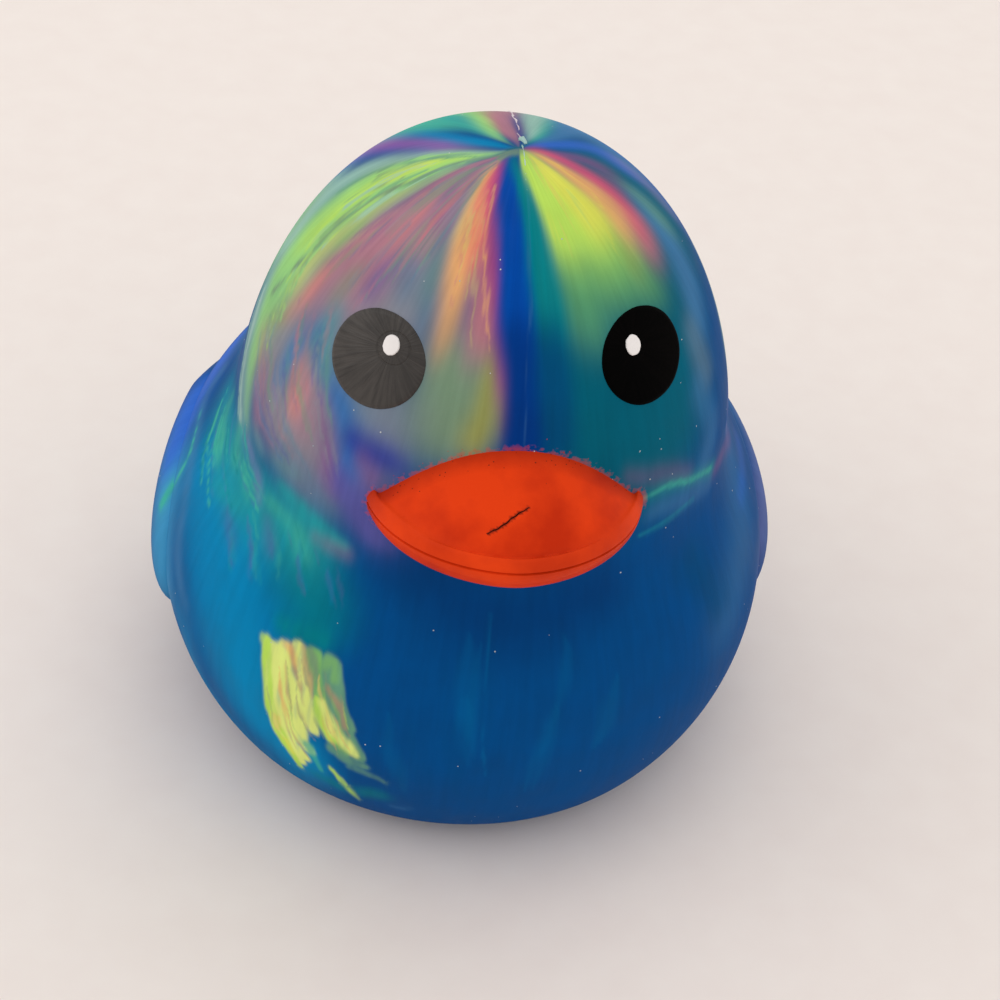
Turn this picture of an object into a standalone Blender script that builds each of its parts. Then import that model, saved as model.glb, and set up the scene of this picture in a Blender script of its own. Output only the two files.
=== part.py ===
# A rubber duck: one hollow rubber moulding that stands on its flat base.
# Metres, +Z up. It looks along -Y, the plane X = 0 halves it, and the base lies on Z = 0
# with its centre at the origin. Its own left is +X.

import bmesh
import bpy
import numpy as np
from mathutils import Vector

# Torso: an egg with its underside cut flat
TORSO_WIDTH = 0.0866
TORSO_LENGTH = 0.0894
TORSO_HEIGHT = 0.0824
TORSO_LEVEL = 0.0268            # height of its widest section above the floor
TORSO_TAPER = 0.03              # share by which it narrows from its middle to its top
BASE_ROUNDING = 0.0060          # blend between the sides and the flat base

# Head: an egg that narrows to the crown
HEAD_WIDTH = 0.0660
HEAD_LENGTH = 0.0640
HEAD_HEIGHT = 0.0744
HEAD_RISE = 0.0326              # from the torso's middle up to the head's middle
HEAD_FORWARD = 0.0071           # from the torso's middle forward to the head's middle
CROWN_TAPER = 0.14              # how fast the head narrows above its middle
CROWN_FULLNESS = 0.10           # how much of that the crown takes back
NECK_BLEND = 0.0065             # softness of the crease between head and torso

# Tail: a short cone that turns up behind
TAIL_LENGTH = 0.0290
TAIL_WIDTH = 0.0280
TAIL_THICKNESS = 0.0150
TAIL_TILT = 40.0                # degrees above the horizontal
TAIL_REACH = 0.0065             # how far its middle lies ahead of the torso's rear end
TAIL_RISE = 0.0190              # from the torso's middle up to the tail's middle
TAIL_BLEND = 0.0090
TAIL_POINT = 0.35               # share by which the tail narrows towards its tip

# Wings: flat pods on the flanks, their rear ends turned up
WING_LENGTH = 0.0444
WING_HEIGHT = 0.0364
WING_THICKNESS = 0.0118
WING_SEAT = 0.0072              # how deep the middle of a wing lies in the flank
WING_SETBACK = 0.0141           # from the torso's middle back to the wing's middle
WING_DROP = 0.0015              # from the torso's middle down to the wing's middle
WING_TURN = 18.0                # degrees that its rear end turns in
WING_UPTURN = 0.0050            # how far the rear tip rises
WING_POINT = 0.35               # share by which a wing narrows towards its rear tip

# Beak: a wide bill with a rim, a mouth line and a lower lip
BEAK_WIDTH = 0.0356
BEAK_LENGTH = 0.0180            # from its seat in the head to the rim
BEAK_SEAT = 0.0071              # how deep its middle lies behind the front of the head
BEAK_RISE = 0.0011              # from the head's middle up to the corners of the mouth line
BEAK_SMILE = 0.0019             # how far the mouth line rises from its corners to the tip
BEAK_DOME = 0.0096              # height of the upper bill above its rim
BEAK_DOME_ACROSS = 2.15         # how late the dome falls towards the sides, and towards the tip
BEAK_DOME_ALONG = 1.7
BEAK_DOME_FOOT = 0.9            # under 1 the dome meets the channel steeply
BEAK_CHANNEL = 0.91             # share of the way to the rim where the channel lies
BEAK_RIM = 0.0015               # thickness of the upper bill at its rim
BEAK_RIM_ROUNDING = 0.05        # share of the way to the rim that its round edge takes
BEAK_RIM_LIFT = 0.0004          # how far the rim's ridge stands above the channel behind it
BEAK_RIDGE = 0.96               # share of the way to the rim where that ridge runs, and its width
BEAK_RIDGE_WIDTH = 0.03
BEAK_LIP = 0.0062               # depth of the lower bill
BEAK_LIP_FULLNESS = 3.0         # how far out the lower bill keeps its depth
BEAK_LIP_EDGE = 0.45            # under 1 its edge is blunt
BEAK_SQUARENESS = 1.8           # 2 is an ellipse, less is more pointed
MOUTH_DEPTH = 0.0007            # depth of the groove between the bills

# Eyes and their glints: low round fields of paint on the head
EYE_SPACING = 0.0324
EYE_RISE = 0.0192               # from the head's middle up to the eyes
EYE_WIDTH = 0.0134
EYE_HEIGHT = 0.0124
EYE_RELIEF = 0.0003
GLINT_DIAMETER = 0.0026
GLINT_INWARD = 0.0011           # from the eye's middle towards the beak
GLINT_RISE = 0.0016             # from the eye's middle up
GLINT_RELIEF = 0.0002
FIELD_FLATNESS = 2.5            # how many times steeper than a ball's the edge of a field is

# Shell
WALL = 0.0022
AIR_HOLE_DIAMETER = 0.0040
AIR_HOLE_SETBACK = 0.0120       # from the centre of the base towards the tail
AIR_HOLE_SIDES = 16

# Fineness of the meshes: segments around and rings from pole to pole
SKIN_MESH = (64, 46)
HOLLOW_MESH = (36, 26)
BEAK_MESH = (40, 26)
WING_MESH = (36, 20)
EYE_MESH = (28, 10)
GLINT_MESH = (12, 6)

TORSO_CENTRE = np.array([0.0, 0.0, TORSO_LEVEL])
TORSO_HALF = np.array([TORSO_WIDTH, TORSO_LENGTH, TORSO_HEIGHT]) / 2
HEAD_CENTRE = TORSO_CENTRE + np.array([0.0, -HEAD_FORWARD, HEAD_RISE])
HEAD_HALF = np.array([HEAD_WIDTH, HEAD_LENGTH, HEAD_HEIGHT]) / 2
TAIL_CENTRE = TORSO_CENTRE + np.array([0.0, TORSO_LENGTH / 2 - TAIL_REACH, TAIL_RISE])
TAIL_HALF = np.array([TAIL_WIDTH, TAIL_LENGTH, TAIL_THICKNESS]) / 2
WING_HALF = np.array([WING_THICKNESS, WING_LENGTH, WING_HEIGHT]) / 2
WING_CENTRE = np.array([TORSO_WIDTH / 2 - WING_SEAT, WING_SETBACK, TORSO_LEVEL - WING_DROP])
BEAK_CENTRE = HEAD_CENTRE + np.array([0.0, BEAK_SEAT - HEAD_LENGTH / 2, BEAK_RISE])
EYE_HALF = (EYE_WIDTH / 2, EYE_HEIGHT / 2)
GLINT_HALF = (GLINT_DIAMETER / 2, GLINT_DIAMETER / 2)

# Every ray that looks for the skin starts here, inside the duck, and is long enough to leave it
HEART = (TORSO_CENTRE + HEAD_CENTRE) / 2
RAY_LENGTH = 2 * (TORSO_LENGTH + TORSO_HEIGHT + HEAD_HEIGHT + TAIL_LENGTH)
RAY_STEPS = 45
SLOPE_STEP = 1e-6
SETTLE_STEPS = 4                # how often a point near the skin is moved onto it
NARROWEST = 0.2                 # no taper shrinks a section below this share
BASE_TOLERANCE = WALL / 100     # points this near the floor are put on it
TAIL_GATHER = 0.55              # share by which rays close to the tail's are drawn towards it
TAIL_GATHER_ANGLE = 0.6         # radians from the tail at which that fades


def turned(points, degrees, axis):
    """Points turned about one axis through the origin."""
    angle = np.radians(degrees)
    first, second = [i for i in range(3) if i != axis]
    result = points.copy()
    result[:, first] = np.cos(angle) * points[:, first] - np.sin(angle) * points[:, second]
    result[:, second] = np.sin(angle) * points[:, first] + np.cos(angle) * points[:, second]
    return result


def egg(points, half, taper, axis):
    """Rough distance to an ellipsoid at the origin whose section shrinks along one axis."""
    scale = np.maximum(taper(points[:, axis] / half[axis]), NARROWEST)
    shape = points.copy()
    for i in range(3):
        if i != axis:
            shape[:, i] = points[:, i] / scale
    inside = np.linalg.norm(shape / half, axis=1)
    slope = np.linalg.norm(shape / half**2, axis=1)
    return inside * (inside - 1) / np.maximum(slope, 1e-9) * np.minimum(scale, 1.0)


def blend(first, second, reach):
    """The union of two distances, with a soft crease of the given reach."""
    near = np.maximum(reach - np.abs(first - second), 0.0)
    return np.minimum(first, second) - near**2 / (4 * reach)


def torso(points):
    return egg(points - TORSO_CENTRE, TORSO_HALF, lambda rise: 1 - TORSO_TAPER * rise, 2)


def head(points):
    def taper(rise):
        above = np.maximum(rise, 0.0)
        return 1 - CROWN_TAPER * above + CROWN_FULLNESS * above**2

    return egg(points - HEAD_CENTRE, HEAD_HALF, taper, 2)


def tail(points):
    local = turned(points - TAIL_CENTRE, -TAIL_TILT, 0)
    return egg(local, TAIL_HALF, lambda out: 1 - TAIL_POINT * np.maximum(out, 0.0), 1)


def wing(points):
    local = wing_local(points)
    return egg(local, WING_HALF, lambda back: 1 - WING_POINT * np.maximum(back, 0.0), 1)


def wing_local(points):
    """The points of either flank in the frame of the wing there, its rear tip along +Y."""
    folded = points.copy()
    folded[:, 0] = np.abs(points[:, 0])
    local = turned(folded - WING_CENTRE, -WING_TURN, 2)
    local[:, 2] -= wing_upturn(local[:, 1])
    return local


def wing_upturn(back):
    return WING_UPTURN * np.maximum(back / WING_HALF[1], 0.0) ** 2


def skin(points, depth=0.0):
    """Rough distance to the duck's skin, without wings and beak, or to a surface inside it."""
    body = blend(torso(points), head(points), NECK_BLEND)
    body = blend(body, tail(points), TAIL_BLEND)
    return -blend(-(body + depth), points[:, 2] - depth, BASE_ROUNDING)


def hollow(points):
    """Rough distance to the inside of the wall, which follows the wings and the beak."""
    body = blend(skin(points, WALL), wing(points) + WALL, WALL)
    bill_half = np.array([BEAK_WIDTH / 2, BEAK_LENGTH, BEAK_RIM + BEAK_LIP]) - 2 * WALL
    bill = egg(points - BEAK_CENTRE, bill_half, np.ones_like, 2)
    return blend(body, bill, WALL)


def slope(points):
    """Unit directions out of the skin."""
    steps = np.eye(3) * SLOPE_STEP
    rise = np.stack([skin(points + step) - skin(points - step) for step in steps], axis=1)
    return rise / np.linalg.norm(rise, axis=1, keepdims=True)


def cast(field, directions, start):
    """Where rays from inside reach the surface on which a field is zero."""
    near = np.zeros(len(directions))
    far = np.full(len(directions), RAY_LENGTH)
    for _ in range(RAY_STEPS):
        middle = (near + far) / 2
        within = field(start + directions * middle[:, None]) < 0
        near = np.where(within, middle, near)
        far = np.where(within, far, middle)
    return start + directions * near[:, None]


def gathered(directions):
    """Directions drawn towards the tail, so that its slim tip gets a finer mesh."""
    axis = TAIL_CENTRE + turned(np.array([[0.0, TAIL_LENGTH / 2, 0.0]]), TAIL_TILT, 0)[0] - HEART
    axis /= np.linalg.norm(axis)
    along = np.clip(directions @ axis, -1.0, 1.0)
    angle = np.arccos(along)
    away = directions - along[:, None] * axis
    away /= np.maximum(np.linalg.norm(away, axis=1, keepdims=True), 1e-12)
    angle = angle * (1 - TAIL_GATHER * np.exp(-((angle / TAIL_GATHER_ANGLE) ** 2)))
    return np.cos(angle)[:, None] * axis + np.sin(angle)[:, None] * away


def shaped_sphere(name, mesh_size, material, place):
    """A sphere primitive whose points, on the unit sphere, are moved to where place says."""
    bm = bmesh.new()
    bmesh.ops.create_uvsphere(bm, u_segments=mesh_size[0], v_segments=mesh_size[1], radius=1.0)
    bm.verts.ensure_lookup_table()
    moved = place(np.array([vertex.co for vertex in bm.verts], dtype=float))
    for vertex, point in zip(bm.verts, moved):
        vertex.co = Vector(point)
    bmesh.ops.recalc_face_normals(bm, faces=bm.faces)
    mesh = bpy.data.meshes.new(name)
    bm.to_mesh(mesh)
    bm.free()
    mesh.shade_smooth()
    mesh.materials.append(material)
    return bpy.data.objects.new(name, mesh)


def finish(name, colour, roughness):
    material = bpy.data.materials.new(name)
    material.use_nodes = True
    shader = material.node_tree.nodes["Principled BSDF"]
    shader.inputs["Base Color"].default_value = (*colour, 1.0)
    shader.inputs["Roughness"].default_value = roughness
    shader.inputs["Metallic"].default_value = 0.0
    return material


def collection(name):
    made = bpy.data.collections.new(name)
    bpy.context.scene.collection.children.link(made)
    return made


def as_tool(piece, tools):
    """Keeps a shape that joins or cuts the duck out of the render."""
    tools.objects.link(piece)
    piece.hide_render = True
    piece.display_type = "WIRE"
    return piece


def combine(body, piece, operation):
    modifier = body.modifiers.new(piece.name, "BOOLEAN")
    modifier.object = piece
    modifier.operation = operation
    modifier.solver = "EXACT"
    modifier.material_mode = "TRANSFER"


def make_skin(rubber):
    def place(unit):
        points = cast(skin, gathered(unit), HEART)
        points[:, 2] = np.where(points[:, 2] < BASE_TOLERANCE, 0.0, points[:, 2])
        return points

    body = shaped_sphere("duck_body", SKIN_MESH, rubber, place)
    flatten_base(body.data)
    return body


def flatten_base(mesh):
    """Makes one face of the flat underside."""
    bm = bmesh.new()
    bm.from_mesh(mesh)
    flat = [face for face in bm.faces if all(vertex.co.z == 0.0 for vertex in face.verts)]
    bmesh.ops.dissolve_faces(bm, faces=flat, use_verts=True)
    bm.to_mesh(mesh)
    bm.free()


def make_hollow(rubber):
    return shaped_sphere("hollow", HOLLOW_MESH, rubber, lambda unit: cast(hollow, unit, HEART))


def make_wing(side, rubber):
    def place(unit):
        back = unit[:, 1]
        narrow = 1 - WING_POINT * np.maximum(back, 0.0)
        local = unit * WING_HALF
        local[:, 0] *= narrow
        local[:, 2] = local[:, 2] * narrow + wing_upturn(local[:, 1])
        turned_in = turned(local, WING_TURN, 2) + WING_CENTRE
        turned_in[:, 0] *= side
        return turned_in

    return shaped_sphere(f"wing_{'left' if side > 0 else 'right'}", WING_MESH, rubber, place)


def make_beak(paint):
    """A bill drawn in rings: each ring is the plan outline at a share of its full size."""

    def place(unit):
        ring = np.hypot(unit[:, 0], unit[:, 1])
        heading = np.arctan2(unit[:, 0], -unit[:, 1])
        across, ahead = np.sin(heading), np.cos(heading)
        power = BEAK_SQUARENESS
        outline = np.abs(2 * across / BEAK_WIDTH) ** power + np.abs(ahead / BEAK_LENGTH) ** power
        outline = outline ** (-1 / power)
        forward = outline * ring * ahead
        sideways = np.abs(2 * outline * ring * across / BEAK_WIDTH)
        edge = BEAK_LENGTH * np.maximum(1 - sideways**power, 1e-6) ** (1 / power)
        towards_edge = np.maximum(forward, 0.0) / (BEAK_CHANNEL * edge)
        dome = BEAK_DOME * np.maximum(1 - (sideways / BEAK_CHANNEL) ** BEAK_DOME_ACROSS, 0.0)
        dome = dome * np.maximum(1 - towards_edge**BEAK_DOME_ALONG, 0.0) ** BEAK_DOME_FOOT
        lift = BEAK_RIM_LIFT * np.exp(-(((ring - BEAK_RIDGE) / BEAK_RIDGE_WIDTH) ** 2))
        edge_round = np.sqrt(np.maximum(1 - ring, 0.0) / BEAK_RIM_ROUNDING)
        rim = BEAK_RIM * np.minimum(1.0, edge_round)
        upper = dome + lift + rim
        lower = -BEAK_LIP * np.maximum(1 - ring**BEAK_LIP_FULLNESS, 0.0) ** BEAK_LIP_EDGE
        height = np.where(unit[:, 2] > 0, upper, lower)
        mouth = np.abs(unit[:, 2]) < 1e-6
        reach = outline * ring - np.where(mouth, MOUTH_DEPTH, 0.0)
        height = np.where(mouth, 0.0, height)
        smile = BEAK_SMILE * (np.maximum(forward, 0.0) / BEAK_LENGTH) ** 2
        return BEAK_CENTRE + np.stack([reach * across, -reach * ahead, height + smile], axis=1)

    return shaped_sphere("beak", BEAK_MESH, paint, place)


def make_field(name, mesh_size, paint, across, rise, half, relief):
    """A thin round pad that lies on the skin of the head and is rooted in its wall."""
    start = np.array([[across, HEAD_CENTRE[1], HEAD_CENTRE[2] + rise]])
    middle = cast(skin, np.array([[0.0, -1.0, 0.0]]), start)
    out = slope(middle)[0]
    sideways = np.cross([0.0, 0.0, 1.0], out)
    sideways /= np.linalg.norm(sideways)
    upwards = np.cross(out, sideways)

    def place(unit):
        points = middle + np.outer(unit[:, 0] * half[0], sideways)
        points = points + np.outer(unit[:, 1] * half[1], upwards)
        for _ in range(SETTLE_STEPS):
            points = points - slope(points) * skin(points)[:, None]
        height = relief * np.minimum(1.0, FIELD_FLATNESS * np.maximum(unit[:, 2], 0.0))
        depth = WALL / 2 * np.minimum(1.0, FIELD_FLATNESS * np.maximum(-unit[:, 2], 0.0))
        return points + slope(points) * (height - depth)[:, None]

    return shaped_sphere(name, mesh_size, paint, place)


def make_air_hole(rubber):
    bm = bmesh.new()
    bmesh.ops.create_cone(bm, cap_ends=True, segments=AIR_HOLE_SIDES, radius1=AIR_HOLE_DIAMETER / 2,
                          radius2=AIR_HOLE_DIAMETER / 2, depth=4 * WALL)
    mesh = bpy.data.meshes.new("air_hole")
    bm.to_mesh(mesh)
    bm.free()
    mesh.materials.append(rubber)
    cutter = bpy.data.objects.new("air_hole", mesh)
    cutter.location = (0.0, AIR_HOLE_SETBACK, WALL / 2)
    return cutter


def build():
    for thing in list(bpy.data.objects):
        bpy.data.objects.remove(thing, do_unlink=True)
    duck = collection("rubber_duck")
    tools = collection("cutters")

    rubber = finish("marbled_rubber", (0.0, 0.13, 0.33), 0.5)
    beak_paint = finish("beak_paint", (0.75, 0.05, 0.01), 0.5)
    eye_paint = finish("eye_paint", (0.008, 0.008, 0.009), 0.45)
    glint_paint = finish("glint_paint", (0.75, 0.73, 0.73), 0.45)

    body = make_skin(rubber)
    duck.objects.link(body)
    joined = [make_wing(-1, rubber), make_wing(1, rubber), make_beak(beak_paint)]
    for side, hand in ((-1, "right"), (1, "left")):
        across = side * EYE_SPACING / 2
        joined.append(make_field(f"eye_{hand}", EYE_MESH, eye_paint, across, EYE_RISE,
                                 EYE_HALF, EYE_RELIEF))
        across -= side * GLINT_INWARD
        joined.append(make_field(f"glint_{hand}", GLINT_MESH, glint_paint, across,
                                 EYE_RISE + GLINT_RISE, GLINT_HALF, EYE_RELIEF + GLINT_RELIEF))
    for piece in joined:
        combine(body, as_tool(piece, tools), "UNION")
    for piece in (make_hollow(rubber), make_air_hole(rubber)):
        combine(body, as_tool(piece, tools), "DIFFERENCE")


build()
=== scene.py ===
# A marbled rubber duck: its finished looks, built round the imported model
import math

import bmesh
import bpy
import numpy as np
from mathutils import Matrix, Vector, noise


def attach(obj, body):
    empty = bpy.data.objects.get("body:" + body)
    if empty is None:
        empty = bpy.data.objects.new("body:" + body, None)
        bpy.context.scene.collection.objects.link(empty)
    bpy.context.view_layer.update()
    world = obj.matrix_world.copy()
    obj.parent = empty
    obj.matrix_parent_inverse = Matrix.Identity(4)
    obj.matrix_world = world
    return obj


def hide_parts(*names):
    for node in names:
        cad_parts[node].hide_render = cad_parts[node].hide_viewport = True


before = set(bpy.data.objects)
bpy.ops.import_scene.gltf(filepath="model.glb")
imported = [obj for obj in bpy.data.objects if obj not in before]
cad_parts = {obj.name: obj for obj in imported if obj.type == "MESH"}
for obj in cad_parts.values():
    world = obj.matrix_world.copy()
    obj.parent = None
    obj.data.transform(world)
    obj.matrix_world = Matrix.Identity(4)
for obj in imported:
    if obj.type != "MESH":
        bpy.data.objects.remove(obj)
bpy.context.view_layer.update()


# Small helpers

def srgb(red, green, blue):
    channels = []
    for value in (red, green, blue):
        share = value / 255
        channels.append(share / 12.92 if share <= 0.04045 else ((share + 0.055) / 1.055) ** 2.4)
    return (*channels, 1.0)


def smooth(low, high, value):
    share = np.clip((value - low) / (high - low), 0.0, 1.0)
    return share * share * (3 - 2 * share)


def unitRows(rows):
    return rows / np.maximum(np.linalg.norm(rows, axis=1, keepdims=True), 1e-12)


def turned(points, degrees, axis):
    angle = np.radians(degrees)
    first, second = [i for i in range(3) if i != axis]
    result = points.copy()
    result[:, first] = np.cos(angle) * points[:, first] - np.sin(angle) * points[:, second]
    result[:, second] = np.sin(angle) * points[:, first] + np.cos(angle) * points[:, second]
    return result


# Camera: where the photograph was taken from, in metres and degrees

cameraView = {
    "azimuth": -9.74,
    "elevation": 39.95,
    "roll": 6.49,
    "aim": (0.0, -0.0022, 0.03724),
    "shiftRight": 0.004645,
    "shiftUp": -0.002283,
    "distance": 0.3418,
    "lens": 86.4,
    "sensor": 36.0,
    "photoSize": 1000,
    "firstStep": 0.6,          # where a ray starts, as a share of the distance
    "marchSteps": 90,
    "caution": 0.8,
    "stepAhead": 0.004,
    "stepBack": 0.002,
}


def makeCamera(view):
    azimuth = math.radians(view["azimuth"])
    elevation = math.radians(view["elevation"])
    back = Vector((math.sin(azimuth) * math.cos(elevation),
                   -math.cos(azimuth) * math.cos(elevation), math.sin(elevation)))
    level = Vector((math.cos(azimuth), math.sin(azimuth), 0.0))
    upright = back.cross(level)
    place = Vector(view["aim"]) + level * view["shiftRight"] + upright * view["shiftUp"]
    place += back * view["distance"]
    roll = math.radians(view["roll"])
    right = level * math.cos(roll) + upright * math.sin(roll)
    up = upright * math.cos(roll) - level * math.sin(roll)
    data = bpy.data.cameras.new("photoCamera")
    data.lens = view["lens"]
    data.sensor_width = view["sensor"]
    camera = bpy.data.objects.new("photoCamera", data)
    camera.matrix_world = Matrix((
        (right.x, up.x, back.x, place.x),
        (right.y, up.y, back.y, place.y),
        (right.z, up.z, back.z, place.z),
        (0.0, 0.0, 0.0, 1.0)))
    bpy.context.scene.collection.objects.link(camera)
    bpy.context.scene.camera = camera
    return camera


camera = makeCamera(cameraView)
cameraPlace = np.array(camera.matrix_world.translation)
cameraTurn = np.array(camera.matrix_world.to_3x3())


def photoRays(pixels):
    half = cameraView["photoSize"] / 2
    reach = cameraView["sensor"] / cameraView["lens"] / 2
    across = (pixels[:, 0] - half) / half * reach
    upward = (half - pixels[:, 1]) / half * reach
    local = np.stack([across, upward, -np.ones(len(pixels))], axis=1)
    return unitRows(local @ cameraTurn.T)


# The moulding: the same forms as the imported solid, with a much finer mesh

torsoShape = {
    "size": np.array([0.0866, 0.0894, 0.0824]),
    "centre": np.array([0.0, 0.0, 0.0268]),
    "taper": 0.03,
    "baseRounding": 0.0060,
}
headShape = {
    "size": np.array([0.0660, 0.0640, 0.0744]),
    "centre": torsoShape["centre"] + np.array([0.0, -0.0071, 0.0326]),
    "taper": 0.14,
    "fullness": 0.10,
    "neckBlend": 0.0065,
}
tailShape = {
    "size": np.array([0.0280, 0.0290, 0.0150]),
    "centre": torsoShape["centre"] + np.array([0.0, 0.0382, 0.0190]),
    "tilt": 40.0,
    "point": 0.35,
    "blend": 0.0090,
    "gather": 0.55,
    "gatherAngle": 0.6,
}
wingShape = {
    "half": np.array([0.0059, 0.0222, 0.0182]),
    "centre": torsoShape["centre"] + np.array([0.0361, 0.0141, -0.0015]),
    "turn": 18.0,
    "upturn": 0.0050,
    "point": 0.35,
    "mesh": (88, 48),
}
skinMesh = {
    "segments": 420,
    "rings": 206,
    "crowding": 1.25,          # over 1 the rings crowd towards the crown
    "frontCrowding": 0.42,     # how much the columns crowd towards the front
    "pinch": np.array([0.0010, -0.0088, 0.0965]),
    "patchCentre": (312, 712),  # in the photograph's pixels
    "patchReach": 0.0145,
    "rayLength": 0.5,
    "raySteps": 34,
}
shellShape = {
    "wall": 0.0022,
    "hollowMesh": (48, 32),
    "airHoleRadius": 0.0020,
    "airHoleSetback": 0.0120,
    "airHoleSides": 32,
}
heart = (torsoShape["centre"] + headShape["centre"]) / 2


def egg(points, half, taper, axis):
    scale = np.maximum(taper(points[:, axis] / half[axis]), 0.2)
    shape = points.copy()
    for i in range(3):
        if i != axis:
            shape[:, i] = points[:, i] / scale
    inside = np.linalg.norm(shape / half, axis=1)
    slope = np.linalg.norm(shape / half**2, axis=1)
    return inside * (inside - 1) / np.maximum(slope, 1e-9) * np.minimum(scale, 1.0)


def blend(first, second, reach):
    near = np.maximum(reach - np.abs(first - second), 0.0)
    return np.minimum(first, second) - near**2 / (4 * reach)


def headTaper(rise):
    above = np.maximum(rise, 0.0)
    return 1 - headShape["taper"] * above + headShape["fullness"] * above**2


def skinField(points, depth=0.0):
    torso = egg(points - torsoShape["centre"], torsoShape["size"] / 2,
                lambda rise: 1 - torsoShape["taper"] * rise, 2)
    head = egg(points - headShape["centre"], headShape["size"] / 2, headTaper, 2)
    tailPoints = turned(points - tailShape["centre"], -tailShape["tilt"], 0)
    tail = egg(tailPoints, tailShape["size"] / 2,
               lambda out: 1 - tailShape["point"] * np.maximum(out, 0.0), 1)
    body = blend(blend(torso, head, headShape["neckBlend"]), tail, tailShape["blend"])
    return -blend(-(body + depth), points[:, 2] - depth, torsoShape["baseRounding"])


def wingUpturn(back):
    return wingShape["upturn"] * np.maximum(back / wingShape["half"][1], 0.0) ** 2


def wingField(points):
    folded = points.copy()
    folded[:, 0] = np.abs(points[:, 0])
    local = turned(folded - wingShape["centre"], -wingShape["turn"], 2)
    local[:, 2] -= wingUpturn(local[:, 1])
    return egg(local, wingShape["half"], lambda back: 1 - wingShape["point"] * np.maximum(back, 0.0), 1)


def slopeOf(field, points):
    steps = np.eye(3) * 1e-6
    rise = np.stack([field(points + step) - field(points - step) for step in steps], axis=1)
    return unitRows(rise)


def settled(field, points):
    for _ in range(4):
        points = points - slopeOf(field, points) * field(points)[:, None]
    return points


def castOut(field, directions, start):
    near = np.zeros(len(directions))
    far = np.full(len(directions), skinMesh["rayLength"])
    for _ in range(skinMesh["raySteps"]):
        middle = (near + far) / 2
        within = field(start + directions * middle[:, None]) < 0
        near = np.where(within, middle, near)
        far = np.where(within, far, middle)
    return start + directions * near[:, None]


def castFromPhoto(pixels, field=skinField):
    # a ray that passes the outline ends at its nearest point of the surface
    rays = photoRays(np.asarray(pixels, dtype=float))
    travelled = np.full(len(rays), cameraView["distance"] * cameraView["firstStep"])
    best = np.full(len(rays), np.inf)
    nearest = travelled.copy()
    for _ in range(cameraView["marchSteps"]):
        gap = field(cameraPlace + rays * travelled[:, None])
        closer = np.abs(gap) < best
        best = np.where(closer, np.abs(gap), best)
        nearest = np.where(closer, travelled, nearest)
        travelled += np.clip(gap * cameraView["caution"], -cameraView["stepBack"], cameraView["stepAhead"])
    return settled(field, cameraPlace + rays * nearest[:, None])


def gathered(directions):
    tip = np.array([[0.0, tailShape["size"][1] / 2, 0.0]])
    axis = tailShape["centre"] + turned(tip, tailShape["tilt"], 0)[0] - heart
    axis /= np.linalg.norm(axis)
    along = np.clip(directions @ axis, -1.0, 1.0)
    angle = np.arccos(along)
    away = unitRows(directions - along[:, None] * axis)
    pull = tailShape["gather"] * np.exp(-((angle / tailShape["gatherAngle"]) ** 2))
    angle = angle * (1 - pull)
    return np.cos(angle)[:, None] * axis + np.sin(angle)[:, None] * away


def shapedSphere(name, meshSize, place):
    bm = bmesh.new()
    bmesh.ops.create_uvsphere(bm, u_segments=meshSize[0], v_segments=meshSize[1], radius=1.0)
    unit = np.array([vertex.co for vertex in bm.verts], dtype=float)
    for vertex, point in zip(bm.verts, place(unit)):
        vertex.co = Vector(point)
    bmesh.ops.recalc_face_normals(bm, faces=bm.faces)
    mesh = bpy.data.meshes.new(name)
    bm.to_mesh(mesh)
    bm.free()
    mesh.shade_smooth()
    made = bpy.data.objects.new(name, mesh)
    bpy.context.scene.collection.objects.link(made)
    return made


def combined(body, tools, operation):
    # joins or cuts a body with closed shapes, then drops them
    for tool in tools:
        modifier = body.modifiers.new(tool.name, "BOOLEAN")
        modifier.object = tool
        modifier.operation = operation
        modifier.solver = "MANIFOLD"
    graph = bpy.context.evaluated_depsgraph_get()
    mesh = bpy.data.meshes.new_from_object(body.evaluated_get(graph))
    body.modifiers.clear()
    body.data = mesh
    for tool in tools:
        bpy.data.objects.remove(tool)
    return body


def crownTurn():
    axis = skinMesh["pinch"] - heart
    axis /= np.linalg.norm(axis)
    return np.array(Vector((0.0, 0.0, 1.0)).rotation_difference(Vector(axis)).to_matrix())


def makeSkin():
    turn = crownTurn()

    def place(unit):
        polar = np.arccos(np.clip(unit[:, 2], -1.0, 1.0))
        around = np.arctan2(unit[:, 1], unit[:, 0])
        around = around - skinMesh["frontCrowding"] * np.cos(around)
        polar = math.pi * (polar / math.pi) ** skinMesh["crowding"]
        aimed = np.stack([np.sin(polar) * np.cos(around), np.sin(polar) * np.sin(around),
                          np.cos(polar)], axis=1) @ turn.T
        points = castOut(skinField, gathered(aimed), heart)
        points[:, 2] = np.where(points[:, 2] < 2e-5, 0.0, points[:, 2])
        return points

    return shapedSphere("duckSkin", (skinMesh["segments"], skinMesh["rings"]), place)


def makeWing(side):
    def place(unit):
        narrow = 1 - wingShape["point"] * np.maximum(unit[:, 1], 0.0)
        local = unit * wingShape["half"]
        local[:, 0] *= narrow
        local[:, 2] = local[:, 2] * narrow + wingUpturn(local[:, 1])
        points = turned(local, wingShape["turn"], 2) + wingShape["centre"]
        points[:, 0] *= side
        return points

    return shapedSphere(f"wing{'Left' if side > 0 else 'Right'}", wingShape["mesh"], place)


def makeHollow():
    wall = shellShape["wall"]

    def inside(points):
        return blend(skinField(points, wall), wingField(points) + wall, wall)

    return shapedSphere("hollow", shellShape["hollowMesh"], lambda unit: castOut(inside, unit, heart))


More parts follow.
